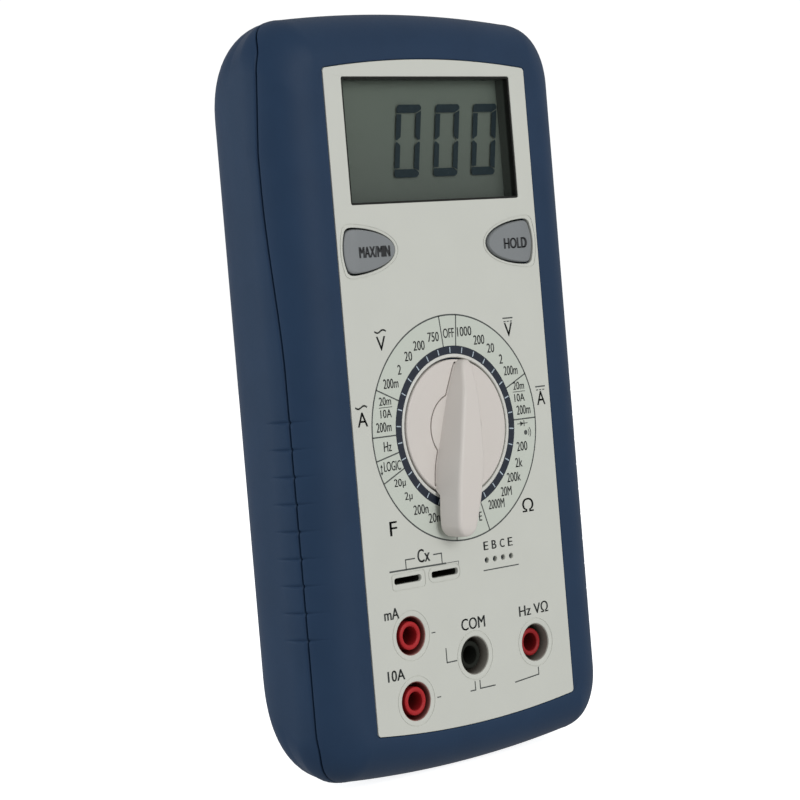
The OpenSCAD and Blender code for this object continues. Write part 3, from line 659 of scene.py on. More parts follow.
def front_shell():
    """Front cover: a frame round the panel, hollow behind, with a rounded edge at the seam."""
    edge = BASE_SEAM - SEAM_GAP / 2
    rings = [skin(edge - away, sunk, grooved=True) for sunk, away in LIP]
    start = np.arcsin(1 - (edge - LIP[-1][1]) / FRONT_ROUND)
    for share in np.linspace(0, 1, 27)[1:]:
        angle = start + (RIGHT - start) * share
        rings.append(skin(FRONT_ROUND * (1 - np.sin(angle)), grooved=True))
    for grow, depth in ((0.42, 0.0), (0.2, 0.05), (0.07, 0.2), (0.04, 0.45), (0.04, PANEL_T),
                        (-1.5, PANEL_T), (-1.5, FRONT_WALL)):
        rings.append(panel_ring(grow, depth))
    tongue = edge - 1.5
    inner_round = FRONT_ROUND - FRONT_WALL
    start = np.arcsin(np.clip(1 - (tongue - FRONT_WALL) / inner_round, 0, 1))
    for share in np.linspace(1, 0, 8):
        angle = start + (RIGHT - start) * share
        rounding = 1 - np.cos(angle)
        insets = [WALL + (inset - WALL) * rounding for inset in FACE_INSET]
        depth = FRONT_WALL + inner_round * (1 - np.sin(angle))
        rings.append(case_ring(insets, FRONT_CORNER, depth))
    rings.append(skin(tongue, 1.7))
    rings.append(skin(edge, 1.7))
    return tube(rings, closed=True)


def outline_of(ring):
    return [(x, z) for x, depth, z in ring]


def front_wall():
    """The wall of the front cover behind the panel, with the well of the knob."""
    outline = outline_of(panel_ring(-1.0, 0))
    holes = face_holes(0.25, 0.4)
    sheet = plate(outline, holes + [circle(0, 0, WELL_R)], PANEL_T + 0.02, FRONT_WALL, 0.05)
    well = lathe([(4.06, 2.0), (WELL_R + 0.6, 2.0), (WELL_R + 0.6, FRONT_WALL), (4.06, FRONT_WALL)])
    return [sheet, well]


def back_shell():
    """Back cover: a deep shell with a tongue that goes under the front cover's edge."""
    edge = BASE_SEAM + SEAM_GAP / 2
    rings = [back_ring(a, WALL) for a in np.linspace(RIGHT, 0, 8)]
    rings.append(skin(edge + 1.0, WALL))
    rings.append(skin(edge - 1.4, WALL))
    rings.append(skin(edge - 1.4, 1.6))
    rings += [skin(edge + away, sunk, grooved=True) for sunk, away in LIP]
    start = edge + LIP[-1][1]
    for share in np.linspace(0, 1, 20)[1:]:
        rings.append(skin(start + (CASE_D - BACK_ROUND - start) * share, grooved=True))
    rings += [back_ring(a) for a in np.linspace(0, RIGHT, 26)[1:]]
    return tube(rings)


def case_body(sunk):
    """The case as one closed solid, drawn in all round."""
    rings = [skin(d, sunk) for d in np.linspace(8, CASE_D - BACK_ROUND, 4)[:-1]]
    rings += [back_ring(a, sunk) for a in np.linspace(0, RIGHT, 26)]
    return tube(rings)


# ---- Face outlines ----


def button_outline(side, grow, steps=24):
    """A bowed outer edge and a half ellipse that ends in a nose, with round corners between."""
    def bend(a, corner, b):
        a, b = Vector(a), Vector(b)
        return [tuple(a.lerp(corner, i / 8).lerp(corner.lerp(b, i / 8), i / 8))
                for i in range(1, 8)]
    half = BUTTON_HALF + grow
    first = math.radians(82)
    nose = [(grow - (BUTTON_LEN + 2 * grow) * math.cos(a), half * math.sin(a))
            for a in np.linspace(first, -first, steps + 1)]
    outer = [(grow + BUTTON_SAG * (1 - t * t), half * t) for t in np.linspace(-0.8, 0.8, steps + 1)]
    points = (nose + bend(nose[-1], Vector((grow, -half)), outer[0])
              + outer + bend(outer[-1], Vector((grow, half)), nose[0]))
    return [(side * (BUTTON_X + x), BUTTON_Z + z) for x, z in points]


def view_outline(grow, radius=0.5):
    return rectangle(-VIEW_HALF_W - grow, VIEW_HALF_W + grow, VIEW_Z - VIEW_HALF_H - grow,
                     VIEW_Z + VIEW_HALF_H + grow, radius)


def slot_outline(x, grow=0.0):
    return rectangle(x - SLOT_HALF - grow, x + SLOT_HALF + grow, SLOT_Z - SLOT_H - grow,
                     SLOT_Z + SLOT_H + grow, 0.55 + grow)


def face_holes(jack_grow=0.0, slot_grow=0.0):
    holes = [view_outline(0)]
    holes += [button_outline(side, BUTTON_GAP) for side in (-1, 1)]
    holes += [circle(x, z, JACK_HOLE + jack_grow) for x, z in JACKS.values()]
    holes += [slot_outline(x, slot_grow) for x in SLOT_X]
    holes += [circle(x, PIN_Z, 0.62, 20) for x in PINS]
    return holes


def contour(outline_out, outline_in, deep=0.12):
    """Cutter for a fine groove between two outlines of equally many points."""
    rings = [[(x, depth, z) for x, z in outline] for outline, depth in
             ((outline_out, -1.0), (outline_out, deep), (outline_in, deep), (outline_in, -1.0))]
    return tube(rings, closed=True)


def face_plate():
    """The pale panel, with sleeves round the jacks and fine contour lines round what it holds."""
    holes = face_holes() + [circle(0, 0, WELL_R)]
    sheet = plate(outline_of(panel_ring(-0.06, 0)), holes, 0.0, PANEL_T, 0.14)
    cutters = [contour(button_outline(side, 1.25), button_outline(side, 1.02)) for side in (-1, 1)]
    cutters += [contour(circle(x, z, 5.5), circle(x, z, 5.26), 0.1) for x, z in JACKS.values()]
    cutters.append(contour(rectangle(-22.8, -12.9, -33.3, -29.5, 0.9),
                           rectangle(-22.6, -13.1, -33.1, -29.7, 0.7)))
    cutters.append(contour(rectangle(-12.1, -2.4, -33.0, -29.4, 1.7),
                           rectangle(-11.85, -2.6, -32.8, -29.6, 1.5)))
    sheet = carve(sheet, cutters)
    sleeve = [(JACK_HOLE, 0.4), (5.1, 0.6), (5.1, FRONT_WALL), (JACK_HOLE, FRONT_WALL)]
    sleeves = [lathe(sleeve, x, z) for x, z in JACKS.values()]
    return joined([sheet] + sleeves)


# ---- Knob and buttons ----


def softened(corners, radius, steps=5):
    """Closed outline through corner points, with each corner rounded by a curve."""
    points = []
    for i, corner in enumerate(corners):
        before, after = Vector(corners[i - 1]), Vector(corners[(i + 1) % len(corners)])
        here = Vector(corner)
        reach = radius[i]
        start = here + (before - here).normalized() * reach
        end = here + (after - here).normalized() * reach
        for k in range(steps + 1):
            t = k / steps
            points.append(start * (1 - t) ** 2 + here * 2 * t * (1 - t) + end * t * t)
    return points


HANDLE = {                         # from the tail to the pointer: place, half widths and height
    "v": (-24.0, -20.8, -17.5, -14.3, -9.3, -5.7, 7.1, 8.9, 12.3, 15.0),
    "base": (3.3, 4.15, 4.65, 5.0, 5.4, 5.1, 3.75, 3.35, 2.6, 1.75),
    "top": (2.0, 2.75, 3.1, 3.4, 3.55, 3.45, 2.25, 2.0, 1.65, 1.3),
    "height": (6.1, 6.2, 6.25, 6.25, 6.2, 6.05, 4.3, 3.85, 2.85, 2.0),
}
DISC_FACE = -0.3
TAIL_LIFT = 1.4


def handle():
    """The handle of the knob: a wedge with soft edges that overhangs the disc at its thick end."""
    tail, tip = HANDLE["v"][0], HANDLE["v"][-1]
    tail_round, tip_round = 2.1, 1.3
    stations = [(tail + tail_round * (1 - math.sin(a)), 1 - math.cos(a), 0.0)
                for a in np.linspace(RIGHT, 0, 9)]
    stations += [(v, 0.0, 0.0) for v in np.linspace(tail + tail_round, tip - tip_round, 34)[1:-1]]
    stations += [(tip - tip_round * (1 - math.sin(a)), 0.0, 1 - math.cos(a))
                 for a in np.linspace(0, RIGHT, 7)]
    rings = []
    for v, at_tail, at_tip in stations:
        base, top, height = (smooth_at(v, HANDLE[key]) for key in ("base", "top", "height"))
        draw_in = tail_round * at_tail + tip_round * 0.9 * at_tip
        base, top = base - draw_in, top - draw_in * 0.85
        height -= 0.9 * at_tail + 0.5 * at_tip
        foot = TAIL_LIFT if v < -KNOB_R + 0.4 else -DISC_FACE - 0.15
        shape = softened([(-base, foot), (-top, height), (top, height), (base, foot)],
                         (0.2, min(0.85, top * 0.8), min(0.85, top * 0.8), 0.2))
        rings.append([(u, -h, v) for u, h in shape])
    return tube(rings)


def smooth_at(v, values):
    """Value of a handle measure at a place, with eased steps between the named places."""
    places = HANDLE["v"]
    i = min(max(np.searchsorted(places, v) - 1, 0), len(places) - 2)
    def slope(k):
        if k == 0 or k == len(places) - 1:
            near = 1 if k == 0 else k
            return (values[near] - values[near - 1]) / (places[near] - places[near - 1])
        return (values[k + 1] - values[k - 1]) / (places[k + 1] - places[k - 1])
    width = places[i + 1] - places[i]
    t = (v - places[i]) / width
    return (values[i] * (2 * t ** 3 - 3 * t ** 2 + 1) + values[i + 1] * (3 * t ** 2 - 2 * t ** 3)
            + width * (slope(i) * (t ** 3 - 2 * t ** 2 + t) + slope(i + 1) * (t ** 3 - t ** 2)))


def knob_disc():
    """The disc of the knob, with its spindle behind and a fine gap round the hub and the handle."""
    rim = 0.4
    profile = [(0.02, DISC_FACE), (4.0, DISC_FACE), (10.0, DISC_FACE)]
    profile += [(KNOB_R - rim + rim * math.sin(a), DISC_FACE + rim - rim * math.cos(a))
                for a in np.linspace(0, RIGHT, 6)]
    profile += [(KNOB_R, 1.7), (4.0, 1.7), (4.0, FRONT_WALL + 0.4), (0.02, FRONT_WALL + 0.4)]
    disc = lathe(profile, count=192, closed=False)
    return carve(disc, [contour(hub_outline(0.44), hub_outline(0.08), DISC_FACE + 0.8)])


def hub_outline(grow, hub=7.35, offset=0.3, reach=14.0):
    """Outline of the hub, a little off centre, and the foot of the handle together."""
    points = []
    for angle in np.linspace(0, 2 * math.pi, 240, endpoint=False):
        across, along = abs(math.sin(angle)), math.cos(angle)
        radius = hub + grow - offset * math.sin(angle)
        while (radius < reach + grow
               and radius * across < smooth_at(radius * along, HANDLE["base"]) + grow):
            radius += 0.02
        points.append((radius * math.sin(angle), radius * along))
    return points


def key(side):
    """Key cap: a low dome that falls away towards the side of the meter."""
    proud = -0.7
    sections = ((3.2, 0.0, True), (0.2, 0.0, True), (-0.15, 0.0, False), (-0.42, 0.1, False),
                (-0.58, 0.24, False))              # depth, drawn in, level
    rings = []
    centre = Vector((side * (BUTTON_X - 5.2), BUTTON_Z))
    def lowered(x):
        return 0.62 * np.clip((abs(x) - BUTTON_X + 2.3) / 2.6, 0, 1) ** 1.4
    for depth, inset, level in sections:
        ring = button_outline(side, -inset)
        fall = 0 if level else min(1.0, (0.4 - depth) / 0.98)
        rings.append([(x, depth + fall * lowered(x), z) for x, z in ring])
    edge = button_outline(side, -0.24)
    for share in (0.96, 0.9, 0.8, 0.68, 0.52, 0.36, 0.2, 0.08):
        dome = proud + 0.12 * (share ** 2)
        ring = [centre + (Vector(p) - centre) * share for p in edge]
        rings.append([(x, dome + lowered(x), z) for x, z in ring])
    return tube(rings)


# ---- Printing ----

PRINT_FRONT = -0.018
PRINT_BACK = 0.006
LABEL_WEIGHT = 0.1


def printed(outline):
    return prism(outline, PRINT_FRONT, PRINT_BACK)


def stroke(points, width):
    """Printed line of one width along points."""
    made = []
    for a, b in zip(points, points[1:]):
        a, b = Vector(a), Vector(b)
        along = (b - a).normalized() * width / 2
        out = Vector((-along.y, along.x))
        a, b = a - along * 0.6, b + along * 0.6
        made.append(printed([a + out, a - out, b - out, b + out]))
    return made


def annulus(inner, outer, front=PRINT_FRONT, x=0.0, z=0.0, count=240):
    back = PRINT_BACK
    return lathe([(inner, front), (outer, front), (outer, back), (inner, back)], x, z, count)


def on_dial(degrees, radius):
    """Place at an angle clockwise from the top of the dial."""
    a = math.radians(degrees)
    return radius * math.sin(a), radius * math.cos(a)


def lettering(text, x, z, height, width, weight=LABEL_WEIGHT, front=PRINT_FRONT,
              back=PRINT_BACK):
    """Words centred at a place on the face, with a set cap height, width and added weight."""
    font = bpy.data.curves.new("words", "FONT")
    font.body = text
    font.fill_mode = "FRONT"
    font.resolution_u = 3
    mesh = evaluated(bpy.data.objects.new("words", font))
    places = np.array([v.co for v in mesh.vertices])
    low, high = places.min(0), places.max(0)
    scale_x, scale_z = width / (high[0] - low[0]), height / (high[1] - low[1])
    def corners(made):
        return [g for g in made["geom"] if isinstance(g, bmesh.types.BMVert)]
    with edited(mesh) as work:
        bmesh.ops.remove_doubles(work, verts=work.verts, dist=1e-5)
        moved = set(corners(bmesh.ops.extrude_face_region(work, geom=work.faces[:])))
        for v in work.verts:
            fx = (v.co.x - (low[0] + high[0]) / 2) * scale_x
            fz = (v.co.y - (low[1] + high[1]) / 2) * scale_z
            v.co = (x + fx - weight / 2, back if v in moved else front, z + fz)
        bmesh.ops.recalc_face_normals(work, faces=work.faces)
        copied = bmesh.ops.duplicate(work, geom=work.verts[:] + work.edges[:] + work.faces[:])
        bmesh.ops.translate(work, vec=(weight, 0, 0), verts=corners(copied))
    return mesh


LABELS = [                         # place on the dial in degrees, then what is printed there
    (0, "OFF"), (13, "1000"), (26, "200"), (37, "20"), (48, "2"), (58.5, "200m"), (84.5, "200m"),
    (107, "200"), (117.5, "2k"), (127.5, "200k"), (138.5, "20M"), (150, "2000M"),
    (-13, "750"), (-26, "200"), (-37, "20"), (-48, "2"), (-58.5, "200m"), (-84.5, "200m"),
    (-96, "Hz"), (-108, "LOGIC"), (-120, "20µ"), (-130.5, "2µ"), (-143, "200n"), (-155, "20n"),
    (-167, "2n"),
]
DIVISIONS = (-6, 6, 66, 90, 162, -174, -66, -90, -102, -114)
DIAL_EDGE = 24.8
RING = (16.2, 18.0)


def dial_print():
    """Dark printing of the dial: edge circle, division lines, range numbers and group letters."""
    made = [annulus(DIAL_EDGE - 0.17, DIAL_EDGE + 0.17)]
    for degrees in DIVISIONS:
        made += stroke([on_dial(degrees, RING[1]), on_dial(degrees, DIAL_EDGE)], 0.3)
    for degrees, text in LABELS:
        width = {1: 1.0, 2: 2.2, 3: 3.3, 4: 4.3, 5: 4.9}[len(text)]
        x, z = on_dial(degrees, 21.4 if len(text) > 3 and abs(degrees) < 100 else 20.8)
        made.append(lettering(text, x, z, 2.1, width))
    for side in (-1, 1):
        x, z = on_dial(side * 72, 21.4)
        made.append(lettering("20m", x, z + 0.95, 1.8, 3.4))
        made.append(lettering("10A", x, z - 1.75, 1.8, 3.2))
        made += stroke([(x - 1.9, z - 0.4), (x + 1.9, z - 0.4)], 0.16)
    made.append(lettering("hFE", 4.1, -20.2, 2.0, 2.9))
    groups = [("V", -20.1, 19.9, 2.6), ("V", 18.6, 20.3, 2.5), ("A", -27.2, 4.2, 2.9),
              ("A", 27.2, 4.2, 2.6), ("Ω", 20.2, -19.4, 3.5), ("F", -21.0, -19.8, 2.1)]
    for text, x, z, width in groups:
        made.append(lettering(text, x, z, 3.1, width))
    for x, z in ((18.6, 22.9), (27.2, 6.8)):
        made += stroke([(x - 1.5, z), (x + 1.5, z)], 0.3)
        for k in (-1, 0, 1):
            made += stroke([(x + k - 0.25, z - 0.75), (x + k + 0.25, z - 0.75)], 0.24)
    for x, z in ((-20.1, 22.5), (-27.3, 6.8)):
        wave = [(x + t, z + 0.3 * math.sin(t * math.pi / 1.6)) for t in np.linspace(-1.6, 1.6, 13)]
        made += stroke(wave, 0.36)
    return made + continuity_symbols()


def continuity_symbols():
    """Diode and buzzer signs, and the level sign of the logic range."""
    x, z = on_dial(95, 21.0)
    made = stroke([(x - 1.9, z + 0.8), (x + 1.3, z + 0.8)], 0.2)
    made.append(printed([(x - 1.0, z + 1.4), (x - 1.0, z + 0.2), (x + 0.1, z + 0.8)]))
    made += stroke([(x + 0.2, z + 0.2), (x + 0.2, z + 1.4)], 0.24)
    x, z = x + 0.5, z - 1.3
    made.append(annulus(0.02, 0.55, x=x, z=z, count=24))
    for radius in (1.05, 1.6):
        made += stroke([(x + radius * math.cos(a), z + radius * math.sin(a))
                        for a in np.linspace(-0.7, 0.7, 7)], 0.2)
    x, z = on_dial(-107, 24.0)
    made += stroke([(x, z - 0.9), (x, z + 0.9)], 0.22)
    for way in (-1, 1):
        tip = z + way * 1.2
        made.append(printed([(x - 0.4, tip - way * 0.7), (x + 0.4, tip - way * 0.7), (x, tip)]))
    return made


def jack_print():
    """Dark printing round the sockets and jacks."""
    words = [("Cx", -12.9, -26.6, 2.9, 3.6), ("mA", -23.6, -37.9, 2.4, 4.2),
             ("10A", -23.7, -51.1, 2.4, 4.9), ("COM", 0.2, -43.3, 2.6, 7.2),
             ("Hz VΩ", 19.3, -42.8, 2.5, 9.2)]
    words += [(text, x, -26.9, 1.9, 1.35) for x, text in zip(PINS, "EBCE")]
    made = [lettering(*word, weight=0.18) for word in words]
    lines = [
        (0.28, (-15.6, -26.9), (-18.3, -26.9), (-18.3, -28.9)),
        (0.28, (-10.0, -26.8), (-7.6, -26.8), (-7.6, -28.9)),
        (0.36, (-23.1, -28.95), (-6.6, -29.15)),
        (0.14, (-6.6, -29.15), (-2.7, -29.15), (-2.7, -29.9)),
        (0.26, (4.8, -32.3), (15.7, -32.3)),
        (0.28, (-8.6, -47.6), (-8.6, -50.7), (-5.6, -50.7)),
        (0.28, (-0.7, -56.1), (-0.7, -58.0), (-2.2, -58.0)),
        (0.28, (0.8, -56.1), (0.8, -57.9), (5.4, -57.9)),
        (0.28, (19.3, -56.1), (19.3, -57.7), (11.7, -58.3)),
        (0.24, (-12.4, -43.6), (-11.4, -43.6)),
        (0.24, (-12.3, -57.7), (-11.3, -57.7)),
    ]
    for width, *points in lines:
        made += stroke(points, width)
    return made


def build_print():
    piece("face_print", joined(dial_print() + jack_print()), INK_DARK)
    piece("dial_field", annulus(RING[1] - 0.1, DIAL_EDGE, -0.008), DIAL_PALE)
    piece("dial_ring", annulus(*RING), INK_BLUE)
    rim = [(WELL_R, 0.3), (WELL_R + 0.04, 0.02), (WELL_R + 0.16, -0.1), (16.0, -0.1),
           (16.12, -0.03), (16.12, 0.3)]
    piece("dial_rim", lathe(rim, count=192), RIM_PALE)
    ticks = []
    for i in range(30):
        inner, outer = on_dial(12 * i, RING[0] + 0.35), on_dial(12 * i, RING[1] - 0.35)
        ticks += stroke([inner, outer], 0.24)
    mesh = joined(ticks)
    mesh.transform(Matrix.Translation((0, -0.012, 0)))
    piece("dial_ticks", mesh, INK_WHITE)


# ---- Display ----

DIGIT = {"w": 7.3, "h": 15.9, "bar": 1.8, "gap": 0.14, "lean": math.tan(math.radians(9.0))}
DIGIT_X = (-4.0, 7.75, 19.4)
DIGIT_Z = 63.35
SEGMENT_DEPTH = 3.55
DISPLAY_DEPTH = 4.0


def segments():
    """The outer segments of a zero for each digit: bars with cut corners, and uprights between."""
    w, h, bar, gap = DIGIT["w"] / 2, DIGIT["h"] / 2, DIGIT["bar"], DIGIT["gap"]
    cut, upright = 0.55, 1.45
    top = h - bar - 2 * gap
    end = [(-w, h - cut), (-w + cut, h), (w - cut, h), (w, h - cut), (w, h - bar * 0.6),
           (w - upright, h - bar), (-w + upright, h - bar), (-w, h - bar)]
    shapes = [end]
    for side, high in ((-1, top), (1, top + bar * 0.4)):
        shapes.append([(side * w, high), (side * w, gap + 0.25), (side * (w - 0.35), gap),
                       (side * (w - upright), gap + 0.75), (side * (w - upright), top)])
    made = []
    for x in DIGIT_X:
        for way in (-1, 1):
            for shape in shapes:
                leaning = [(x + px + way * pz * DIGIT["lean"], DIGIT_Z + way * pz)
                           for px, pz in shape]
                made.append(prism(leaning, SEGMENT_DEPTH, SEGMENT_DEPTH + 0.02))
    return joined(made)


def build_display():
    low, high = span("lcd_glass")
    outline = rectangle(low.x, high.x, low.z, high.z, 0.4)
    piece("display_cell", plate(outline, [], DISPLAY_DEPTH, high.y, 0.15), DISPLAY_BACK,
          replaces=["lcd_glass"])
    piece("display_digits", segments(), DISPLAY_INK)


# ---- Jacks and screws ----


def insulator(name):
    """Insulating tube with a rounded lip, in its round body."""
    x, z = JACKS[name]
    face = JACK_FACE[name]
    lip = [(2.0, face + 0.5), (2.06, face + 0.25), (2.25, face + 0.07), (2.5, face), (2.62, face),
           (2.86, face + 0.06), (3.04, face + 0.22), (3.1, face + 0.5)]
    body = [(3.1, 6.5), (JACK_HOLE, 6.5), (JACK_HOLE, FRONT_WALL + 0.02), (5.4, FRONT_WALL + 0.02),
            (5.4, 8.6), (4.5, 8.6), (4.5, 7.7), (3.0, 7.7), (3.0, 6.5), (2.0, 6.5)]
    return lathe(lip + body, x, z, 96)


def jack_wall_shade(name):
    """Thin sheet on the wall of a jack's hole, from just behind the face to the jack's floor, that
    carries painted shade darkening with depth.
    """
    x, z = JACKS[name]
    return lathe([(JACK_HOLE - 0.16, 0.22), (JACK_HOLE - 0.01, 0.12), (JACK_HOLE - 0.01, 6.5),
                  (JACK_HOLE - 0.16, 6.5)], x, z, 96)


def screw(x, z, seat, head, head_t, shank, tip):
    """Pan head screw with a cross recess, driven from the back."""
    crown = [(head * math.sin(a), seat + head_t * (0.35 + 0.65 * math.cos(a)))
             for a in np.linspace(0.02, RIGHT, 9)]
    profile = crown + [(head, seat), (shank, seat)]
    depth = seat - 0.3
    while depth > tip + 0.6:
        profile += [(shank, depth), (shank - 0.22, depth - 0.3)]
        depth -= 0.6
    profile += [(0.02, tip)]
    body = lathe(profile, x, z, 40, closed=False)
    cross = [block(x - a, x + a, z - b, z + b, seat + head_t * 0.25, seat + head_t + 1)
             for a, b in ((head * 0.62, head * 0.13), (head * 0.13, head * 0.62))]
    return carve(body, cross)


# ---- Back ----

RECESS_HALF = 20.8
RECESS_LOW = -46.0
RECESS_HIGH = 23.4
RECESS_DEEP = 3.3
HINGE_Z = 20.0
HINGE_DEPTH = CASE_D - 1.7
DOOR_HALF = 33.0
DOOR_Z = (28.4, 66.0)
DOOR_DEPTH = CASE_D - 2.0
DOOR_SCREW_Z = 62.6
BOSSES = [(x, z) for x in (-36.5, 36.5) for z in (-52.0, 66.0)]
HEAD_SEAT = 17.0
STAND_HALF = 20.0
STAND_LOW = HINGE_Z - 65.0
STAND_T = 2.6
BAY = (-26.0, 32.0, 29.6, 59.0)


def rod_along_x(z, depth, radius, half, count=32):
    rings = [[(x, depth + radius * math.sin(a), z + radius * math.cos(a))
              for a in np.linspace(0, 2 * math.pi, count, endpoint=False)] for x in (-half, half)]
    return tube(rings)


def build_back():
    recess = CASE_D - RECESS_DEEP
    inner = [block(-RECESS_HALF - 3, RECESS_HALF + 3, RECESS_LOW - 9, RECESS_HIGH + 1.5, recess - 2,
                   CASE_D + 1),
             block(-8, 8, BAY[3] + 1.2, DOOR_SCREW_Z + 3, DOOR_DEPTH - 8, DOOR_DEPTH - 0.1)]
    inner += [post(x, z, 4.2, 12.1, CASE_D + 1) for x, z in BOSSES]
    inner = carve(joined(inner), [case_body(0.6)], "INTERSECT")
    shell = carve(back_shell(), [inner], "UNION")
    cutters = [
        block(-RECESS_HALF, RECESS_HALF, RECESS_LOW, RECESS_HIGH, recess, CASE_D + 2, 1.6),
        post(0, RECESS_LOW, 7.0, recess, CASE_D + 2.1, 72),
        rod_along_x(HINGE_Z, HINGE_DEPTH, 1.48, RECESS_HALF + 2.4),
        block(-DOOR_HALF, DOOR_HALF, *DOOR_Z, DOOR_DEPTH - 0.1, CASE_D + 2.2),
        block(*BAY, DOOR_DEPTH - 6, DOOR_DEPTH + 1),
        post(0, DOOR_SCREW_Z, 1.25, DOOR_DEPTH - 7, DOOR_DEPTH + 1.1, 32),
    ]
    for x, z in BOSSES:
        cutters.append(post(x, z, 1.6, 11.5, CASE_D + 1, 32))
        cutters.append(post(x, z, 3.0, HEAD_SEAT, CASE_D + 1.2, 48))
    piece("case_back", carve(shell, cutters), CASE_BLUE, replaces=["back_cover"])


def build_door():
    gap = 0.15
    low, high = DOOR_Z
    half = DOOR_HALF - gap
    door = block(-half, half, low + gap, high - gap, DOOR_DEPTH, CASE_D + 2, 0.5)
    door = carve(door, [case_body(0.0)], "INTERSECT")
    cutters = [post(0, DOOR_SCREW_Z, 1.5, DOOR_DEPTH - 1, CASE_D + 1, 32),
               post(0, DOOR_SCREW_Z, 2.8, DOOR_DEPTH + 0.8, CASE_D + 1.2, 48)]
    for i in range(6):
        z = 34.0 + 2 * i
        cutters.append(block(-9, 9, z, z + 1, CASE_D - 0.5, CASE_D + 1.1, 0.49))
    cutters.append(prism([(-3.2, 51.0), (3.2, 51.0), (0, 47.4)], CASE_D - 0.6, CASE_D + 1.3))
    tabs = [block(x - 3, x + 3, low - start, low + 1.4, DOOR_DEPTH - 2.2, DOOR_DEPTH + back, 0.3)
            for start, back in ((1.8, -0.9), (-gap, 0.4)) for x in (-15, 15)]
    piece("battery_cover", joined([carve(door, cutters)] + tabs), CASE_BLUE,
          replaces=["battery_door"])


def build_stand():
    """The stand: a bevelled leg with two sunk panels, a hinge barrel and a finger lip."""
    inner = HINGE_DEPTH - STAND_T / 2
    outline = rectangle(-STAND_HALF, STAND_HALF, STAND_LOW, HINGE_Z, 1.6)
    leg = plate(outline, [], inner, inner + STAND_T, 0.35)
    outer = inner + STAND_T
    cutters = [block(x - 2.5, x + 2.5, STAND_LOW + 8, HINGE_Z - 8, outer - 0.8, CASE_D + 1, 1.2)
               for x in (-12.5, 12.5)]
    cutters += [block(-6, 6, z, z + 0.6, outer - 0.3, CASE_D + 1, 0.29)
                for z in (STAND_LOW + 2.2, STAND_LOW + 3.7, STAND_LOW + 5.2)]
    leg = carve(leg, cutters)
    barrel = rod_along_x(HINGE_Z, HINGE_DEPTH, STAND_T / 2, STAND_HALF)
    pins = rod_along_x(HINGE_Z, HINGE_DEPTH, 1.3, RECESS_HALF + 2.2)
    piece("stand_leg", joined([leg, barrel, pins]), CASE_BLUE, body="stand",
          replaces=["tilt_stand"])


# ---- Whole model ----


def build_front():
    piece("case_front", joined([front_shell()] + front_wall()), CASE_BLUE,
          replaces=["front_cover"])
    piece("face_plate", face_plate(), PANEL_PALE, replaces=["face_panel"])


def build_controls():
    knob = joined([knob_disc(), handle()])
    piece("knob_cap", turned_up(knob, KNOB_TURN), KNOB_WHITE, body="knob",
          replaces=["range_knob"], sharp=40)
    for side, body, words, width in ((-1, "max_min", "MAX/MIN", 8.7), (1, "hold", "HOLD", 7.1)):
        piece(body + "_key", key(side), BUTTON_GREY, body=body,
              replaces=[body + "_button"], sharp=40)
        front = -0.735
        place = -20.3 if side < 0 else 22.4
        legend = lettering(words, place, BUTTON_Z - 0.3, 2.4, width, weight=0.26, front=front,
                           back=front + 0.1)
        piece(body + "_legend", legend, KEY_INK, body=body)


def build_jacks():
    for name in JACKS:
        material = JACK_BLACK if name == "com" else JACK_RED
        piece("insulator_" + name, insulator(name), material, replaces=["jack_" + name])
        # The hole walls carry painted shade that darkens with depth.
        wall_shade = WALL_RED_SHADED if name in ("ma", "10a") else WALL_PALE_SHADED
        piece("wall_shade_" + name, jack_wall_shade(name), wall_shade)
    slots = [plate(slot_outline(x, 0.35), [slot_outline(x)], PANEL_T + 0.02, FRONT_WALL, 0.02)
             for x in SLOT_X]
    piece("slot_linings", joined(slots), JACK_BLACK)


def build_screws():
    heads = [screw(x, z, HEAD_SEAT, 2.7, 1.8, 1.35, 5.2) for x, z in BOSSES]
    piece("shell_screws", joined(heads), STEEL, replaces=["case_screws"])
    door_screw = screw(0, DOOR_SCREW_Z, DOOR_DEPTH + 0.8, 2.5, 1.1, 1.2, DOOR_DEPTH - 6)
    piece("cover_screw", door_screw, STEEL, replaces=["battery_door_screw"])


CAD_LOOKS = (                      # material, then the CAD nodes that get it
    (WINDOW, "display_window"), (FRAME_BLACK, "lcd_frame"), (ZEBRA, "zebra_strips"),
    (SOLDER_MASK, "main_board"), (JACK_BLACK, "capacitor_socket"), (FUSE_GLASS, "fuse_200ma"),
    (FUSE_CERAMIC, "fuse_10a"), (CHIP_BLACK, "converter_chip"), (TRIMMER_BLUE, "trimmers"),
    (RESISTORS, "precision_resistors"), (FILM_RED, "film_capacitor"),
    (CAN_BLUE, "electrolytic_capacitors"), (THERMISTOR, "thermistor"),
    (BATTERY_WRAP, "battery"), (LEAD_RED, "battery_leads"),
    (BRASS, "socket_ma", "socket_10a", "socket_com", "socket_volt", "capacitor_contacts",
     "transistor_contacts", "fuse_clips"),
    (BRONZE, "current_shunt", "rotor_contacts"),
    (STEEL, "crystal", "board_screws", "rotor_screw"),
    (SPRING_STEEL, "detent_balls", "detent_springs"),
    (SWITCH_BLACK, "button_switches", "piezo_buzzer", "battery_snap"),
    (ACETAL, "detent_ring", "transistor_socket", "switch_rotor", "max_min_plunger",
     "hold_plunger"),
)


def dress_cad_nodes():
    for material, *nodes in CAD_LOOKS:
        for node in nodes:
            mesh = frame["nodes"][node].data
            mesh.materials.clear()
            mesh.materials.append(material)


# ---- Stage, light and camera ----


def glow(name, strength, grey):
    """Matt grey that also shines white."""
    surface = Surface(name, 1.0, 0.0)
    surface.colour((grey, grey, grey, 1.0))
    surface.bsdf.inputs["Emission Color"].default_value = (1.0, 1.0, 1.0, 1.0)
    surface.bsdf.inputs["Emission Strength"].default_value = strength
    return surface.material


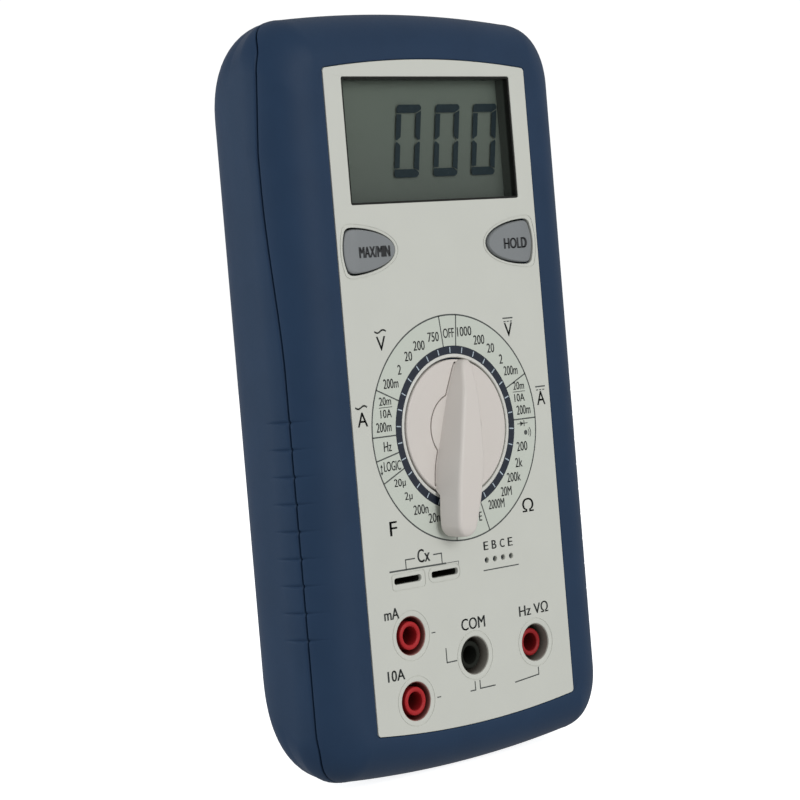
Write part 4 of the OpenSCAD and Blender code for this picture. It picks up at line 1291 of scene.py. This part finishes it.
def seen_only(obj):
    """The camera sees the object, but it sends no light to others."""
    obj.visible_diffuse = obj.visible_glossy = obj.visible_transmission = False
    obj.visible_shadow = False


def build_stage():
    mesh = bpy.data.meshes.new("floor")
    work = bmesh.new()
    bmesh.ops.create_circle(work, cap_ends=True, segments=96, radius=2.9)
    work.to_mesh(mesh)
    work.clear()
    mesh.materials.append(glow("floor_pale", 0.86, 0.75))
    floor = bpy.data.objects.new("floor", mesh)
    floor.location.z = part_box("back_cover")[0].z - 0.0002
    dome_mesh = bpy.data.meshes.new("backdrop")
    bmesh.ops.create_uvsphere(work, u_segments=48, v_segments=24, radius=3.0)
    work.to_mesh(dome_mesh)
    work.free()
    dome_mesh.materials.append(glow("backdrop_white", 1.05, 0.0))
    dome = bpy.data.objects.new("backdrop", dome_mesh)
    for obj in (floor, dome):
        bpy.context.scene.collection.objects.link(obj)
        seen_only(obj)


def area_light(name, place, size, power, colour=(1.0, 1.0, 1.0)):
    """Round light that points at the dial."""
    data = bpy.data.lights.new(name, "AREA")
    data.shape = "DISK"
    data.size = size
    data.energy = power
    data.color = colour
    light = bpy.data.objects.new(name, data)
    light.location = place
    light.rotation_euler = (DIAL - Vector(place)).to_track_quat("-Z", "Y").to_euler()
    bpy.context.scene.collection.objects.link(light)


def build_light():
    """Soft white surroundings, a little brighter above, and large lights in front."""
    world = bpy.data.worlds.new("studio")
    bpy.context.scene.world = world
    world.use_nodes = True
    tree = world.node_tree
    background = tree.nodes["Background"]
    place = tree.nodes.new("ShaderNodeTexCoord").outputs["Generated"]
    split = tree.nodes.new("ShaderNodeSeparateXYZ")
    tree.links.new(place, split.inputs[0])
    ramp = tree.nodes.new("ShaderNodeMapRange")
    tree.links.new(split.outputs["Z"], ramp.inputs["Value"])
    for name, number in (("From Min", -1.0), ("From Max", 1.0), ("To Min", 0.43), ("To Max", 0.49)):
        ramp.inputs[name].default_value = number
    tree.links.new(ramp.outputs["Result"], background.inputs["Strength"])
    background.inputs["Color"].default_value = (1.0, 1.0, 1.0, 1.0)
    area_light("key", (-0.05, -1.35, 0.55), 0.8, 7.0)
    area_light("fill", (0.5, -1.3, 0.2), 1.0, 2.6)
    area_light("side", (-1.25, 0.3, 0.2), 1.0, 3.6, (0.8, 0.92, 1.0))
    area_light("behind", (-0.95, 1.05, 0.3), 1.0, 5.0, (0.8, 0.92, 1.0))


CAMERA_PLACE = (-380.43, -398.67, 27.47)      # from the dial centre, in millimetres
CAMERA_HEADING = 42.432                       # degrees to the right of straight at the face
CAMERA_DIP = 2.124                            # degrees below level
CAMERA_ROLL = -4.793
CAMERA_LENS = 113.07
CAMERA_SENSOR = 36.0


def build_camera():
    data = bpy.data.cameras.new("camera")
    data.lens = CAMERA_LENS
    data.sensor_width = CAMERA_SENSOR
    camera = bpy.data.objects.new("camera", data)
    level = Euler((math.radians(90 - CAMERA_DIP), 0, -math.radians(CAMERA_HEADING))).to_matrix()
    roll = Matrix.Rotation(math.radians(CAMERA_ROLL), 3, "Z")
    camera.matrix_world = Matrix.Translation(FACE @ Vector(CAMERA_PLACE)) @ (level @ roll).to_4x4()
    data.clip_start, data.clip_end = 0.01, 20
    bpy.context.scene.collection.objects.link(camera)
    bpy.context.scene.camera = camera


build_camera()
build_front()
build_controls()
build_print()
build_display()
build_jacks()
build_back()
build_door()
build_stand()
build_screws()
dress_cad_nodes()
build_stage()
build_light()
bpy.context.scene.view_settings.view_transform = "Standard"
